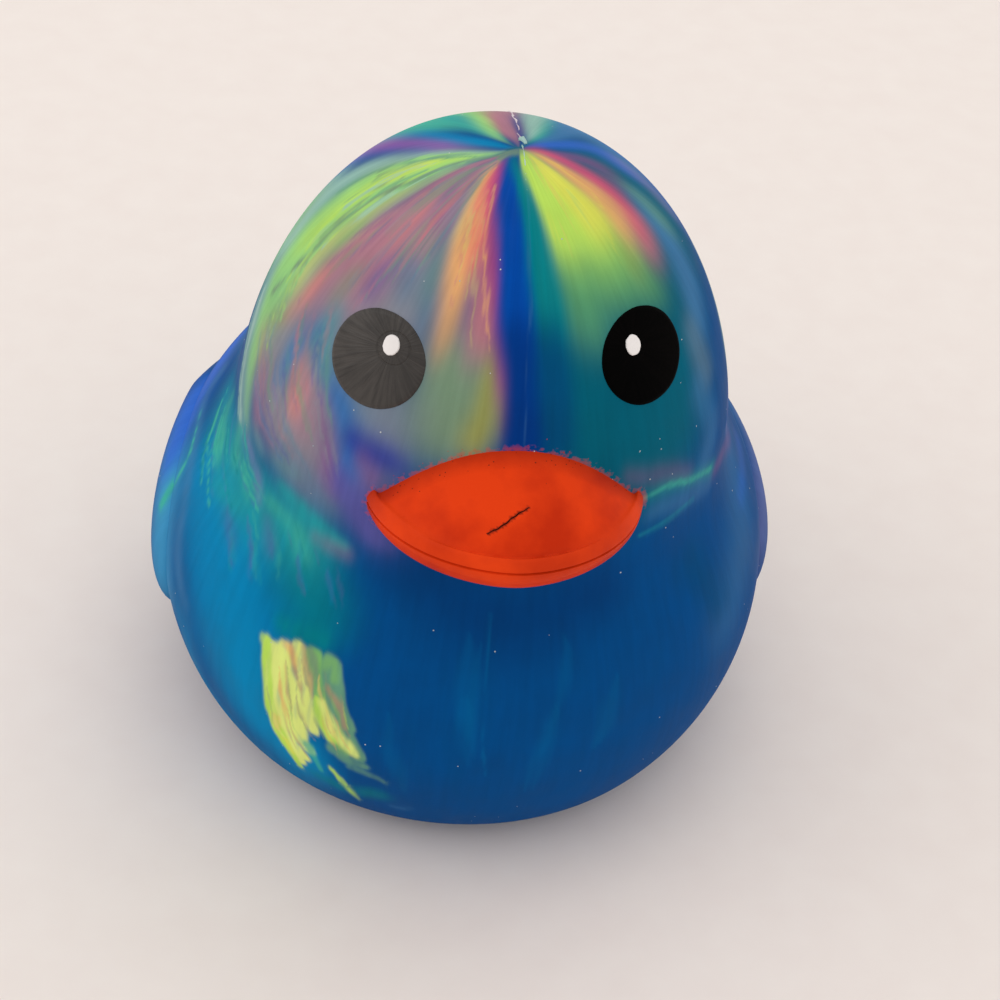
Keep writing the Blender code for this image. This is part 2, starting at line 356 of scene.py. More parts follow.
def makeAirHole():
    bm = bmesh.new()
    radius = shellShape["airHoleRadius"]
    bmesh.ops.create_cone(bm, cap_ends=True, segments=shellShape["airHoleSides"], radius1=radius,
                          radius2=radius, depth=4 * shellShape["wall"],
                          matrix=Matrix.Translation((0.0, shellShape["airHoleSetback"], 0.0)))
    mesh = bpy.data.meshes.new("airHole")
    bm.to_mesh(mesh)
    bm.free()
    made = bpy.data.objects.new("airHole", mesh)
    bpy.context.scene.collection.objects.link(made)
    return made


def refineNear(piece, centre, reach):
    # splits the outer faces near a point once, and settles the new points on the skin
    bm = bmesh.new()
    bm.from_mesh(piece.data)
    middles = np.array([face.calc_center_median() for face in bm.faces])
    near = (np.linalg.norm(middles - centre, axis=1) < reach) & (skinField(middles) > -0.0005)
    bm.faces.ensure_lookup_table()
    edges = {edge for index in np.nonzero(near)[0] for edge in bm.faces[index].edges}
    made = bmesh.ops.subdivide_edges(bm, edges=list(edges), cuts=1, use_grid_fill=True)
    fresh = [part for part in made["geom_inner"] if isinstance(part, bmesh.types.BMVert)]
    for vertex, point in zip(fresh, settled(skinField, np.array([vertex.co for vertex in fresh]))):
        vertex.co = Vector(point)
    bm.to_mesh(piece.data)
    bm.free()


duckSkin = makeSkin()
combined(duckSkin, [makeWing(1), makeWing(-1)], "UNION")
combined(duckSkin, [makeHollow(), makeAirHole()], "DIFFERENCE")
refineNear(duckSkin, castFromPhoto([skinMesh["patchCentre"]])[0], skinMesh["patchReach"])
duckSkin.data.shade_smooth()
duckSkin.data.set_sharp_from_angle(angle=math.radians(40))
print("skin moulded:", len(duckSkin.data.polygons), "faces")


# Beak: a wide bill with a rim, a mouth line and a lower lip

beakShape = {
    "width": 0.0356,
    "length": 0.0180,
    "seat": 0.0071,
    "rise": 0.0011,
    "smile": 0.0019,
    "dome": 0.0096,
    "domeAcross": 2.15,
    "domeAlong": 1.7,
    "domeFoot": 0.9,
    "channel": 0.91,
    "rim": 0.0015,
    "rimRounding": 0.05,
    "rimLift": 0.0004,
    "ridge": 0.96,
    "ridgeWidth": 0.03,
    "lip": 0.0062,
    "lipFullness": 3.0,
    "lipEdge": 0.45,
    "squareness": 1.8,
    "mouthDepth": 0.0007,
    "mesh": (240, 150),
}
beakCentre = headShape["centre"] + np.array([0.0, beakShape["seat"] - headShape["size"][1] / 2,
                                             beakShape["rise"]])


def beakOutline(heading):
    across, ahead = np.sin(heading), np.cos(heading)
    power = beakShape["squareness"]
    reach = np.abs(2 * across / beakShape["width"]) ** power + np.abs(ahead / beakShape["length"]) ** power
    return reach ** (-1 / power)


def beakTop(forward, sideways, ring):
    # height of the upper bill above the mouth line
    shape = beakShape
    power = shape["squareness"]
    edge = shape["length"] * np.maximum(1 - sideways**power, 1e-6) ** (1 / power)
    towardsEdge = np.maximum(forward, 0.0) / (shape["channel"] * edge)
    dome = shape["dome"] * np.maximum(1 - (sideways / shape["channel"]) ** shape["domeAcross"], 0.0)
    dome = dome * np.maximum(1 - towardsEdge ** shape["domeAlong"], 0.0) ** shape["domeFoot"]
    lift = shape["rimLift"] * np.exp(-(((ring - shape["ridge"]) / shape["ridgeWidth"]) ** 2))
    rounding = np.sqrt(np.maximum(1 - ring, 0.0) / shape["rimRounding"])
    return dome + lift + shape["rim"] * np.minimum(1.0, rounding)


def makeBeak():
    shape = beakShape

    def place(unit):
        ring = np.hypot(unit[:, 0], unit[:, 1])
        heading = np.arctan2(unit[:, 0], -unit[:, 1])
        outline = beakOutline(heading)
        forward = outline * ring * np.cos(heading)
        sideways = np.abs(2 * outline * ring * np.sin(heading) / shape["width"])
        upper = beakTop(forward, sideways, ring)
        lower = -shape["lip"] * np.maximum(1 - ring ** shape["lipFullness"], 0.0) ** shape["lipEdge"]
        mouth = np.abs(unit[:, 2]) < 1e-6
        height = np.where(mouth, 0.0, np.where(unit[:, 2] > 0, upper, lower))
        reach = outline * ring - np.where(mouth, shape["mouthDepth"], 0.0)
        smile = shape["smile"] * (np.maximum(forward, 0.0) / shape["length"]) ** 2
        return beakCentre + np.stack([reach * np.sin(heading), -reach * np.cos(heading),
                                      height + smile], axis=1)

    return shapedSphere("beak", shape["mesh"], place)


crackShape = {
    "path": [(487, 534), (493, 530.5), (498, 529), (502, 525.5), (507, 523), (511, 518.5), (516, 516),
             (520, 512.5), (524, 511), (529, 507.5)],
    "halfWidth": (0.00002, 0.00005, 0.00007, 0.00006, 0.00008, 0.00006, 0.00008, 0.00006, 0.00005, 0.00002),
    "depth": 0.0009,
    "proud": 0.0006,
    "shadeReach": (0.9, 2.0),       # the painted shade's inner and outer reach round the crack, in half widths
}


def beakField(points):
    local = points - beakCentre
    heading = np.arctan2(local[:, 0], -local[:, 1])
    outline = beakOutline(heading)
    ring = np.hypot(local[:, 0], local[:, 1]) / outline
    forward = -local[:, 1]
    sideways = np.abs(2 * local[:, 0] / beakShape["width"])
    smile = beakShape["smile"] * (np.maximum(forward, 0.0) / beakShape["length"]) ** 2
    top = beakTop(forward, np.minimum(sideways, 1.0), np.minimum(ring, 1.0)) + smile
    return np.where(ring < 1, local[:, 2] - top, 0.01)


def makeCrack():
    pixels = np.array(crackShape["path"], dtype=float)
    middle = castFromPhoto(pixels, beakField)
    out = slopeOf(beakField, middle)
    along = unitRows(np.gradient(middle, axis=0))
    sideways = unitRows(np.cross(along, out)) * np.array(crackShape["halfWidth"])[:, None]
    corners = [middle + sideways + out * crackShape["proud"], middle - sideways + out * crackShape["proud"],
               middle - out * crackShape["depth"]]
    bm = bmesh.new()
    rows = [[bm.verts.new(Vector(corner[i])) for corner in corners] for i in range(len(middle))]
    for before, after in zip(rows[:-1], rows[1:]):
        for i in range(3):
            j = (i + 1) % 3
            bm.faces.new((before[i], before[j], after[j], after[i]))
    bm.faces.new(rows[0][::-1])
    bm.faces.new(rows[-1])
    bmesh.ops.recalc_face_normals(bm, faces=bm.faces)
    mesh = bpy.data.meshes.new("crackCutter")
    bm.to_mesh(mesh)
    bm.free()
    cutter = bpy.data.objects.new("crackCutter", mesh)
    bpy.context.scene.collection.objects.link(cutter)
    return cutter, middle


def meshPlaces(piece):
    flat = np.zeros(len(piece.data.vertices) * 3)
    piece.data.vertices.foreach_get("co", flat)
    return flat.reshape(-1, 3)


def pathGap(places, path):
    # the distance to the nearest point of a path, in metres
    gap = np.full(len(places), np.inf)
    for start, end in zip(path[:-1], path[1:]):
        along = end - start
        share = np.clip((places - start) @ along / (along @ along), 0.0, 1.0)
        gap = np.minimum(gap, np.linalg.norm(places - start - share[:, None] * along, axis=1))
    return gap


def addField(piece, name, values):
    attribute = piece.data.attributes.new(name, "FLOAT", "POINT")
    attribute.data.foreach_set("value", np.asarray(values, dtype=np.float32))


def markBeak(crackPath):
    places = meshPlaces(beak)
    local = places - beakCentre
    ring = np.hypot(local[:, 0], local[:, 1]) / beakOutline(np.arctan2(local[:, 0], -local[:, 1]))
    broad = max(crackShape["halfWidth"])
    inner, outer = crackShape["shadeReach"]
    # the crack's groove and a narrow band round it are darkened with painted shade
    addField(beak, "crack", 1 - smooth(inner * broad, outer * broad, pathGap(places, crackPath)))
    addField(beak, "rim", smooth(0.86, 0.97, ring) * (local[:, 2] > 0))
    skinGap = skinField(places)
    addField(beak, "skinGap", np.maximum(skinGap, 0.0))
    return places[np.abs(skinGap) < 0.0004]


beak = makeBeak()
crackCutter, crackPath = makeCrack()
combined(beak, [crackCutter], "DIFFERENCE")
beak.data.shade_smooth()
beak.data.set_sharp_from_angle(angle=math.radians(60))
beakEdge = markBeak(crackPath)
print("beak moulded:", len(beak.data.polygons), "faces,", len(beakEdge), "edge points")


# Eyes and glints: low round fields of paint that lie on the skin

eyeShape = {
    "spacing": 0.0324,
    "rise": 0.0192,
    "half": (0.0067, 0.0062),
    "relief": 0.0003,
    "flatness": 2.5,
    "rootDepth": 0.0011,
    "mesh": (128, 60),
    "ringRadius": 0.00215,
    "ringWidth": 0.00018,
    "ringHeight": 0.00007,
    "offset": {"Right": (-0.0008, -0.0006), "Left": (0.0002, 0.0003)},
}
glintShape = {
    "half": (0.00115, 0.00135),
    "inward": 0.0019,
    "rise": {"Right": 0.0021, "Left": 0.0017},
    "relief": 0.0002,
    "mesh": (48, 20),
    "ragged": 0.05,
}


def paintField(name, meshSize, across, rise, half, relief, ragged, seed):
    start = np.array([[across, headShape["centre"][1], headShape["centre"][2] + rise]])
    middle = castOut(skinField, np.array([[0.0, -1.0, 0.0]]), start)
    out = slopeOf(skinField, middle)[0]
    sideways = np.cross([0.0, 0.0, 1.0], out)
    sideways /= np.linalg.norm(sideways)
    upwards = np.cross(out, sideways)

    def place(unit):
        around = np.arctan2(unit[:, 1], unit[:, 0])
        edge = np.array([noise.noise((math.cos(a) * 2.5 + seed, math.sin(a) * 2.5, seed)) +
                         0.5 * noise.noise((math.cos(a) * 9, math.sin(a) * 9 + seed, seed)) for a in around])
        grow = 1 + ragged * edge
        points = middle + np.outer(unit[:, 0] * half[0] * grow, sideways)
        points = points + np.outer(unit[:, 1] * half[1] * grow, upwards)
        for _ in range(4):
            points = points - slopeOf(skinField, points) * skinField(points)[:, None]
        height = relief * np.minimum(1.0, eyeShape["flatness"] * np.maximum(unit[:, 2], 0.0))
        sunk = np.minimum(1.0, eyeShape["flatness"] * np.maximum(-unit[:, 2], 0.0))
        return points + slopeOf(skinField, points) * (height - eyeShape["rootDepth"] * sunk)[:, None]

    made = shapedSphere(name, meshSize, place)
    # the disc's own flat coordinates, for paint that spreads from its middle
    flat = made.data.uv_layers.new(name="disc")
    offsets = np.array([vertex.co for vertex in made.data.vertices]) - middle
    coords = np.stack([offsets @ sideways / half[0], offsets @ upwards / half[1]], axis=1)
    loops = np.zeros(len(made.data.loops), dtype=np.int32)
    made.data.loops.foreach_get("vertex_index", loops)
    flat.data.foreach_set("uv", coords[loops].astype(np.float32).ravel())
    return made


eyes = {}
glints = {}
glintCentre = {}
for side, hand in ((-1, "Right"), (1, "Left")):
    across = side * eyeShape["spacing"] / 2 + eyeShape["offset"][hand][0]
    rise = eyeShape["rise"] + eyeShape["offset"][hand][1]
    eyes[hand] = paintField(f"eye{hand}", eyeShape["mesh"], across, rise,
                            eyeShape["half"], eyeShape["relief"], 0.006, 3.0 + side)
    glints[hand] = paintField(f"glint{hand}", glintShape["mesh"], across - side * glintShape["inward"],
                              rise + glintShape["rise"][hand], glintShape["half"],
                              eyeShape["relief"] + glintShape["relief"], glintShape["ragged"], 7.0 + side)
    glintCentre[hand] = (-side * glintShape["inward"] / eyeShape["half"][0],
                         glintShape["rise"][hand] / eyeShape["half"][1])
print("eyes painted")


# Marbling: strokes of pigment on the skin. A stroke is a path of (x, y, half width) in the
# photograph's pixels, or of (azimuth, polar angle, half width in degrees) where it is hidden.

pigments = {
    "deepBlue": srgb(0, 72, 134),
    # a darker blue used only for painted shade under the beak
    "shadeBlue": srgb(0, 52, 112),
    "navyTeal": srgb(0, 70, 118),
    "cobalt": srgb(0, 52, 128),
    "royal": srgb(0, 68, 160),
    "cornflower": srgb(52, 104, 200),
    "indigo": srgb(44, 58, 146),
    "iris": srgb(84, 84, 154),
    "lavender": srgb(116, 122, 176),
    "ocean": srgb(0, 128, 180),
    "steel": srgb(62, 118, 166),
    "azure": srgb(40, 104, 172),
    "limeStraw": srgb(214, 228, 128),
    "wingBlue": srgb(70, 156, 204),
    # a pale sage that paints the sheen along the head's outline over the marbling
    "sheenSage": srgb(150, 184, 176),
    "slate": srgb(84, 118, 144),
    "fog": srgb(130, 134, 144),
    "petrol": srgb(0, 94, 116),
    "teal": srgb(0, 124, 132),
    "lagoon": srgb(30, 148, 156),
    "jade": srgb(62, 168, 150),
    "mist": srgb(146, 188, 174),
    "mint": srgb(64, 176, 152),
    "pistachio": srgb(146, 204, 122),
    "fern": srgb(82, 150, 106),
    "leaf": srgb(124, 182, 100),
    "moss": srgb(98, 150, 124),
    "sage": srgb(116, 144, 116),
    "olive": srgb(148, 152, 82),
    "lime": srgb(180, 218, 92),
    "lemon": srgb(218, 216, 88),
    "straw": srgb(196, 188, 110),
    "peach": srgb(226, 168, 108),
    "tan": srgb(172, 140, 112),
    "coral": srgb(222, 122, 104),
    "rose": srgb(186, 116, 124),
    "pink": srgb(204, 84, 120),
    "magenta": srgb(158, 56, 124),
    "orchid": srgb(160, 84, 166),
    "plum": srgb(128, 84, 132),
    "mauve": srgb(168, 118, 134),
}

# name, pigment, strength, feather, path
strokes = {
    "grounds": [
        ("right of the head", "petrol", 1.0, 0.45, [(640, 220, 100), (640, 420, 105)]),
        ("left of the head", "fog", 1.0, 0.35, [(410, 215, 90), (335, 320, 92), (325, 420, 88)]),
        ("mauve rays", "mauve", 0.9, 0.6, [(440, 200, 22), (385, 250, 36), (320, 300, 34)]),
        ("mauve cheek", "mauve", 0.6, 0.7, [(265, 340, 20), (275, 400, 34), (300, 450, 30)]),
        ("slate eye", "slate", 0.8, 0.8, [(320, 335, 30), (345, 400, 34), (350, 440, 30)]),
        ("sage low", "sage", 0.9, 0.6, [(455, 360, 30), (450, 420, 45)]),
        ("iris low", "iris", 0.9, 0.7, [(350, 480, 34), (385, 530, 26)]),
        ("crown back", "jade", 1.0, 0.5, [(385, 138, 16), (430, 124, 24), (480, 122, 14)]),
        ("crown back right", "steel", 1.0, 0.5, [(540, 125, 10), (580, 130, 22), (630, 165, 22)]),
        ("fan ground", "pistachio", 1.0, 0.5, [(460, 162, 9), (400, 180, 20), (345, 208, 30), (305, 252, 32),
                                               (276, 305, 22), (257, 355, 14)]),
        ("limb ground", "mist", 1.0, 0.5, [(335, 182, 9), (290, 240, 12), (262, 300, 14), (249, 350, 12),
                                           (243, 400, 10), (246, 430, 8)]),
        ("left breast", "ocean", 1.0, 0.7, [(205, 470, 50), (225, 580, 66), (250, 690, 62), (300, 760, 40)]),
        ("left breast teal", "teal", 0.8, 0.9, [(300, 560, 38), (318, 610, 36)]),
        # ocean marbling carried out to the outline, lighter there as painted sheen
        ("breast limb sheen", "ocean", 0.9, 0.8, [(176, 600, 14), (200, 680, 18), (240, 745, 18), (295, 792, 16)]),
        ("neck ground", "lagoon", 0.95, 0.8, [(226, 395, 16), (228, 440, 26), (255, 500, 36), (305, 538, 34)]),
        ("centre breast", "deepBlue", 1.0, 0.7, [(430, 600, 50), (530, 700, 140)]),
        # painted shade: a darker blue laid across the throat, where the head shades the breast
        ("shade under the beak", "shadeBlue", 0.7, 0.9, [(400, 560, 30), (500, 620, 38), (600, 590, 30)]),
        ("right flank", "steel", 0.5, 0.9, [(730, 450, 30), (742, 540, 28), (725, 620, 26)]),
        ("shoulder ground", "cornflower", 1.0, 0.6, [(235, 340, 16), (205, 385, 26), (172, 440, 24)]),
        ("wing ground", "wingBlue", 1.0, 0.5, [(172, 462, 22), (160, 520, 22), (164, 590, 18)]),
        ("right wing ground", "lavender", 0.9, 0.7, [(744, 420, 12), (758, 465, 13), (764, 515, 12),
                                                     (758, 580, 10)]),
    ],
    "behind the crown": [
        ("mint crown", "mint", 1.0, 0.4, [(380, 134, 8), (410, 124, 12), (445, 116, 15), (478, 124, 13),
                                          (500, 137, 4)]),
        ("teal crown", "lagoon", 0.8, 0.8, [(450, 116, 8), (475, 124, 9), (494, 135, 4)]),
        ("ocean band", "ocean", 1.0, 0.5, [(388, 137, 3), (420, 134, 5), (460, 139, 8), (492, 143, 6),
                                           (508, 148, 3)]),
        ("lime line", "pistachio", 1.0, 0.5, [(460, 103, 6), (475, 114, 7), (490, 130, 5), (503, 141, 2)]),
        ("lime line core", "lime", 0.6, 0.7, [(474, 104, 4), (484, 116, 3), (496, 132, 2)]),
        ("mauve wedge", "mauve", 1.0, 0.3, [(496, 100, 17), (500, 116, 12), (508, 130, 7), (517, 141, 3)]),
        ("salmon side", "rose", 0.6, 0.8, [(488, 112, 5), (498, 126, 4), (509, 139, 2)]),
        ("plum side", "plum", 0.7, 0.8, [(518, 108, 5), (521, 122, 4), (523, 134, 3)]),
        ("mist wedge", "mist", 1.0, 0.4, [(536, 106, 13), (534, 124, 10), (530, 139, 4)]),
        ("jade edge", "jade", 0.9, 0.8, [(551, 116, 4), (544, 130, 5), (532, 142, 3)]),
        ("steel wedge", "steel", 1.0, 0.5, [(562, 116, 12), (568, 128, 10), (552, 138, 6), (532, 143, 2)]),
        ("teal rim", "mist", 0.6, 0.8, [(566, 124, 3), (590, 132, 5)]),
        ("blue band", "cornflower", 0.85, 0.5, [(530, 145, 2), (560, 145, 7), (590, 148, 10), (614, 160, 12),
                                                (634, 176, 8)]),
        ("pale line", "steel", 0.8, 0.6, [(552, 140, 1.5), (578, 134, 2), (596, 131, 2)]),
        ("orchid band", "orchid", 1.0, 0.6, [(362, 148, 7), (385, 144, 7), (415, 143, 6), (440, 145, 4),
                                             (466, 148, 2)]),
        ("blue line", "cornflower", 0.9, 0.7, [(322, 180, 3), (345, 165, 4), (370, 154, 3), (400, 151, 2.5),
                                               (440, 149, 1.5)]),
        ("fog wisp", "fog", 0.8, 0.8, [(440, 151, 2), (465, 150, 2), (495, 152, 2)]),
    ],
    "right of the crown": [
        ("lavender limb", "lavender", 0.8, 0.7, [(618, 160, 8), (645, 182, 9), (672, 212, 9)]),
        ("steel side", "steel", 1.0, 0.7, [(640, 200, 14), (668, 238, 18), (688, 280, 20), (698, 320, 16)]),
        ("plum band", "plum", 0.75, 0.8, [(555, 152, 3), (585, 160, 6), (608, 174, 8), (620, 190, 7)]),
        ("moss tongue", "moss", 0.85, 0.8, [(628, 187, 5), (642, 200, 8), (656, 214, 10), (668, 226, 9)]),
        ("green foot", "fern", 0.8, 0.9, [(575, 305, 26), (590, 330, 22)]),
        ("green field", "fern", 1.0, 0.7, [(574, 285, 30), (625, 284, 28), (655, 286, 16)]),
        ("leaf field", "leaf", 1.0, 0.7, [(560, 246, 20), (592, 256, 28), (626, 254, 22)]),
        ("straw side", "olive", 0.5, 0.9, [(628, 254, 10), (634, 262, 12)]),
        ("rose blot", "rose", 0.9, 0.8, [(630, 212, 9), (642, 232, 13), (650, 252, 11)]),
        ("magenta rim", "pink", 1.0, 0.6, [(528, 147, 2), (550, 154, 4), (575, 166, 6), (600, 183, 9),
                                           (620, 202, 10), (634, 222, 8), (642, 240, 4)]),
        ("lime wedge", "lime", 1.0, 0.3, [(523, 152, 4), (531, 172, 9), (544, 198, 16), (557, 222, 20),
                                          (568, 238, 20)]),
        ("lime middle", "lime", 1.0, 0.4, [(545, 172, 10), (568, 202, 22), (590, 228, 27)]),
        ("peach rim", "peach", 1.0, 0.7, [(530, 150, 2), (552, 162, 5), (578, 180, 9), (602, 200, 12),
                                          (620, 222, 12), (626, 238, 7)]),
        ("lemon field", "lemon", 0.9, 0.7, [(530, 154, 3), (552, 174, 8), (576, 198, 13), (596, 220, 17)]),
    ],
    "between the eyes": [
        ("petrol cheek", "petrol", 1.0, 0.8, [(570, 370, 26), (590, 430, 40)]),
        ("tealed edge", "teal", 1.0, 0.45, [(511, 158, 3), (522, 188, 9), (532, 220, 13), (541, 260, 17),
                                            (546, 300, 21), (552, 330, 18)]),
        ("navy side", "navyTeal", 0.9, 0.8, [(545, 340, 18), (552, 390, 20), (556, 445, 22)]),
        ("blue wedge", "royal", 1.0, 0.3, [(506, 157, 3), (507, 180, 8), (508, 210, 13), (510, 240, 16),
                                           (512, 280, 18), (515, 325, 20), (517, 350, 20)]),
        ("lower blue", "cobalt", 1.0, 0.35, [(517, 340, 19), (519, 380, 20), (521, 420, 21), (522, 452, 21)]),
        ("sage ground", "sage", 0.8, 0.8, [(450, 355, 16), (455, 395, 28), (446, 432, 26)]),
        ("fog under brow", "fog", 0.2, 0.9, [(420, 410, 18), (410, 438, 18)]),
        ("mauve heart", "mauve", 0.6, 0.9, [(468, 325, 9), (470, 360, 8)]),
        ("slate ray", "slate", 1.0, 0.6, [(504, 154, 1.5), (485, 169, 4), (470, 187, 6), (458, 207, 8),
                                          (447, 230, 10), (438, 258, 14), (432, 290, 14), (428, 318, 9)]),
        ("green ray", "sage", 0.4, 0.9, [(436, 255, 10), (430, 290, 10)]),
        ("peach ray", "peach", 1.0, 0.5, [(498, 161, 2), (488, 176, 4), (477, 198, 7), (468, 224, 10),
                                          (462, 252, 12), (458, 282, 12), (451, 312, 11), (443, 336, 9)]),
        ("tan foot", "tan", 0.7, 0.9, [(452, 316, 10), (440, 346, 10), (434, 356, 7)]),
        ("straw edge", "straw", 0.7, 0.8, [(495, 162, 2), (480, 186, 3), (470, 206, 4), (461, 232, 4)]),
        ("coral ray", "coral", 1.0, 0.7, [(496, 168, 3), (489, 185, 5), (483, 208, 8), (479, 235, 10),
                                          (477, 262, 10)]),
        ("rose ray", "rose", 0.85, 0.8, [(480, 262, 9), (482, 300, 10), (482, 335, 9), (483, 352, 6)]),
        ("olive column", "olive", 1.0, 0.7, [(489, 360, 6), (487, 385, 10), (485, 415, 13), (474, 442, 16)]),
        ("magenta edge", "magenta", 0.9, 0.8, [(502, 164, 2), (497, 182, 3), (493, 204, 3.5), (491, 232, 4),
                                               (491, 262, 4), (492, 300, 4), (495, 340, 3), (498, 380, 2.5),
                                               (501, 430, 2.5)]),
        ("pink edge", "pink", 0.7, 0.9, [(497, 172, 3), (490, 192, 4), (486, 214, 4)]),
    ],
    "fields left of the head": [
        ("mauve ground", "mauve", 0.9, 0.7, [(490, 162, 2), (455, 190, 14), (420, 222, 24), (375, 258, 30)]),
        ("side ground", "fog", 0.85, 0.8, [(285, 330, 26), (280, 400, 32), (290, 440, 30)]),
        ("mist limb", "mist", 0.9, 0.6, [(340, 176, 8), (318, 194, 9), (300, 216, 8), (282, 248, 8)]),
        ("mint edge", "mist", 1.0, 0.6, [(500, 152, 1.5), (440, 154, 3), (400, 158, 5), (365, 169, 8),
                                         (335, 188, 11), (310, 212, 13), (290, 242, 13)]),
        ("pistachio side", "pistachio", 1.0, 0.4, [(500, 153, 1.5), (462, 158, 5), (420, 168, 11),
                                                   (382, 180, 15), (346, 200, 19), (314, 228, 21),
                                                   (286, 262, 18), (268, 300, 13), (256, 340, 9),
                                                   (249, 380, 7), (246, 415, 6)]),
        ("lime side", "lime", 0.85, 0.8, [(470, 158, 3), (430, 165, 5), (400, 172, 7), (370, 185, 9),
                                          (345, 202, 10), (320, 222, 9), (300, 246, 7)]),
        ("lemon core", "lemon", 0.7, 0.9, [(440, 162, 2), (412, 169, 4), (385, 181, 5)]),
    ],
    "left of the head": [
        ("upper vein", "moss", 0.85, 0.7, [(470, 157, 1), (420, 161, 1.5), (388, 168, 1.8), (362, 178, 1.8),
                                           (338, 192, 1.5)]),
        ("middle vein", "moss", 0.5, 0.8, [(420, 166, 1), (385, 180, 1.4), (355, 193, 1.6), (330, 205, 1.4)]),
        ("straw streak", "straw", 0.6, 0.7, [(420, 184, 1.5), (385, 203, 3), (350, 227, 4), (325, 248, 6),
                                             (306, 270, 6), (294, 292, 5)]),
        ("green pocket", "leaf", 0.7, 0.8, [(365, 222, 5), (350, 234, 7), (338, 244, 6)]),
        ("lower vein", "moss", 0.95, 0.6, [(500, 155, 1), (455, 165, 1.2), (412, 181, 1.6), (385, 193, 2),
                                           (360, 207, 2.2), (340, 221, 2.4), (320, 240, 2.4), (303, 257, 2.4),
                                           (288, 272, 2.4), (272, 292, 3)]),
        ("rose streak", "rose", 0.5, 0.7, [(465, 170, 1.5), (435, 184, 2.5), (405, 203, 4), (382, 222, 5),
                                           (360, 240, 6), (342, 256, 5), (322, 276, 5), (306, 296, 5)]),
        ("coral streak", "coral", 0.35, 0.8, [(432, 204, 3), (416, 218, 4), (398, 234, 5), (386, 244, 3)]),
        ("tan streak", "tan", 0.45, 0.8, [(430, 222, 3), (412, 238, 5), (396, 254, 4)]),
        ("coral drop", "coral", 0.45, 0.8, [(330, 270, 4), (316, 285, 6), (302, 300, 7), (288, 314, 6)]),
        ("plum streak", "plum", 0.7, 0.8, [(488, 162, 1.5), (465, 180, 4), (448, 200, 5), (436, 220, 5)]),
        ("slate hair one", "slate", 0.7, 0.7, [(480, 160, 1), (440, 180, 1.2), (408, 198, 1.6), (390, 210, 1.6)]),
        ("slate hair two", "slate", 0.6, 0.7, [(486, 163, 1), (455, 186, 1.2), (432, 210, 1.8), (412, 236, 2)]),
        ("slate hair three", "fog", 0.7, 0.7, [(470, 162, 1), (430, 178, 1.3), (395, 200, 1.6)]),
        ("iris spot", "iris", 0.6, 0.9, [(404, 258, 8), (386, 272, 12), (372, 290, 12)]),
        ("sage spot", "sage", 0.6, 0.9, [(358, 272, 6), (342, 290, 7), (332, 300, 6)]),
        ("slate brow", "slate", 0.7, 0.9, [(410, 262, 10), (405, 290, 14)]),
        ("olive patch", "olive", 0.75, 0.7, [(272, 318, 5), (285, 320, 5)]),
        ("mauve limb", "mauve", 0.7, 0.7, [(266, 322, 4), (264, 350, 7), (259, 385, 9), (257, 420, 8)]),
        ("rose limb", "rose", 0.5, 0.8, [(262, 325, 3), (258, 360, 4)]),
        ("steel slope", "steel", 0.95, 0.7, [(318, 326, 10), (300, 342, 13), (288, 362, 11), (283, 380, 7)]),
        ("teal slope", "lagoon", 0.6, 0.8, [(338, 312, 9), (324, 338, 12), (322, 372, 10)]),
        ("rose gleam", "rose", 0.6, 0.7, [(316, 320, 2), (300, 335, 2)]),
        ("coral blotch", "coral", 0.5, 0.7, [(303, 362, 7), (300, 385, 14), (293, 410, 11)]),
        ("mauve blotch", "mauve", 0.7, 0.9, [(310, 385, 9), (312, 412, 11), (300, 430, 10)]),
        ("iris column", "plum", 0.8, 0.8, [(322, 398, 6), (326, 440, 10), (330, 490, 12)]),
        ("blue column", "azure", 1.0, 0.7, [(330, 378, 6), (340, 405, 13), (348, 435, 16), (350, 470, 12)]),
        ("indigo cheek", "indigo", 1.0, 0.8, [(352, 438, 12), (375, 452, 15), (400, 464, 11)]),
        ("iris jaw", "iris", 1.0, 0.8, [(342, 478, 14), (352, 505, 16), (372, 532, 16)]),
        ("plum cheek", "plum", 0.8, 0.9, [(364, 462, 9), (372, 478, 9)]),
        ("slate jaw", "slate", 0.8, 0.8, [(285, 455, 14), (310, 480, 14), (330, 505, 10)]),
        ("jade edge", "jade", 0.6, 0.8, [(268, 455, 2), (283, 469, 3), (300, 475, 2.5)]),
        ("mist foot", "mist", 0.6, 0.9, [(256, 430, 5), (261, 448, 5)]),
    ],
    "right of the face": [
        # painted sheen along the right outline of the head, laid over pale marbling
        ("limb sheen sage", "sheenSage", 1.0, 0.7, [(694, 240, 7), (708, 268, 9), (720, 305, 11), (726, 340, 12),
                                             (729, 372, 9)]),
        ("slate temple", "slate", 0.8, 0.9, [(692, 330, 14), (706, 370, 16)]),
        ("steel cheek", "steel", 0.6, 0.9, [(700, 390, 16), (712, 425, 14), (705, 460, 14)]),
        ("iris limb", "lavender", 0.6, 0.9, [(728, 390, 6), (728, 425, 7)]),
        ("rose limb", "plum", 0.6, 0.8, [(730, 436, 5), (722, 454, 6), (714, 470, 5)]),
        ("plum jaw", "plum", 0.45, 0.9, [(630, 476, 6), (660, 475, 7), (690, 472, 6)]),
        ("steel jaw", "steel", 0.6, 0.9, [(655, 510, 10), (685, 498, 12), (708, 484, 9)]),
        ("jade line", "jade", 0.7, 0.8, [(646, 497, 3), (666, 488, 3.5), (690, 480, 4), (712, 468, 5)]),
        ("deep jaw", "deepBlue", 0.7, 0.9, [(640, 545, 14), (690, 535, 16), (718, 510, 10)]),
        ("flank gleam", "cornflower", 0.6, 0.8, [(738, 440, 6), (742, 470, 7), (740, 500, 6)]),
        ("flank teal", "navyTeal", 0.8, 0.9, [(690, 560, 22), (720, 600, 20)]),
    ],
    "left of the neck": [
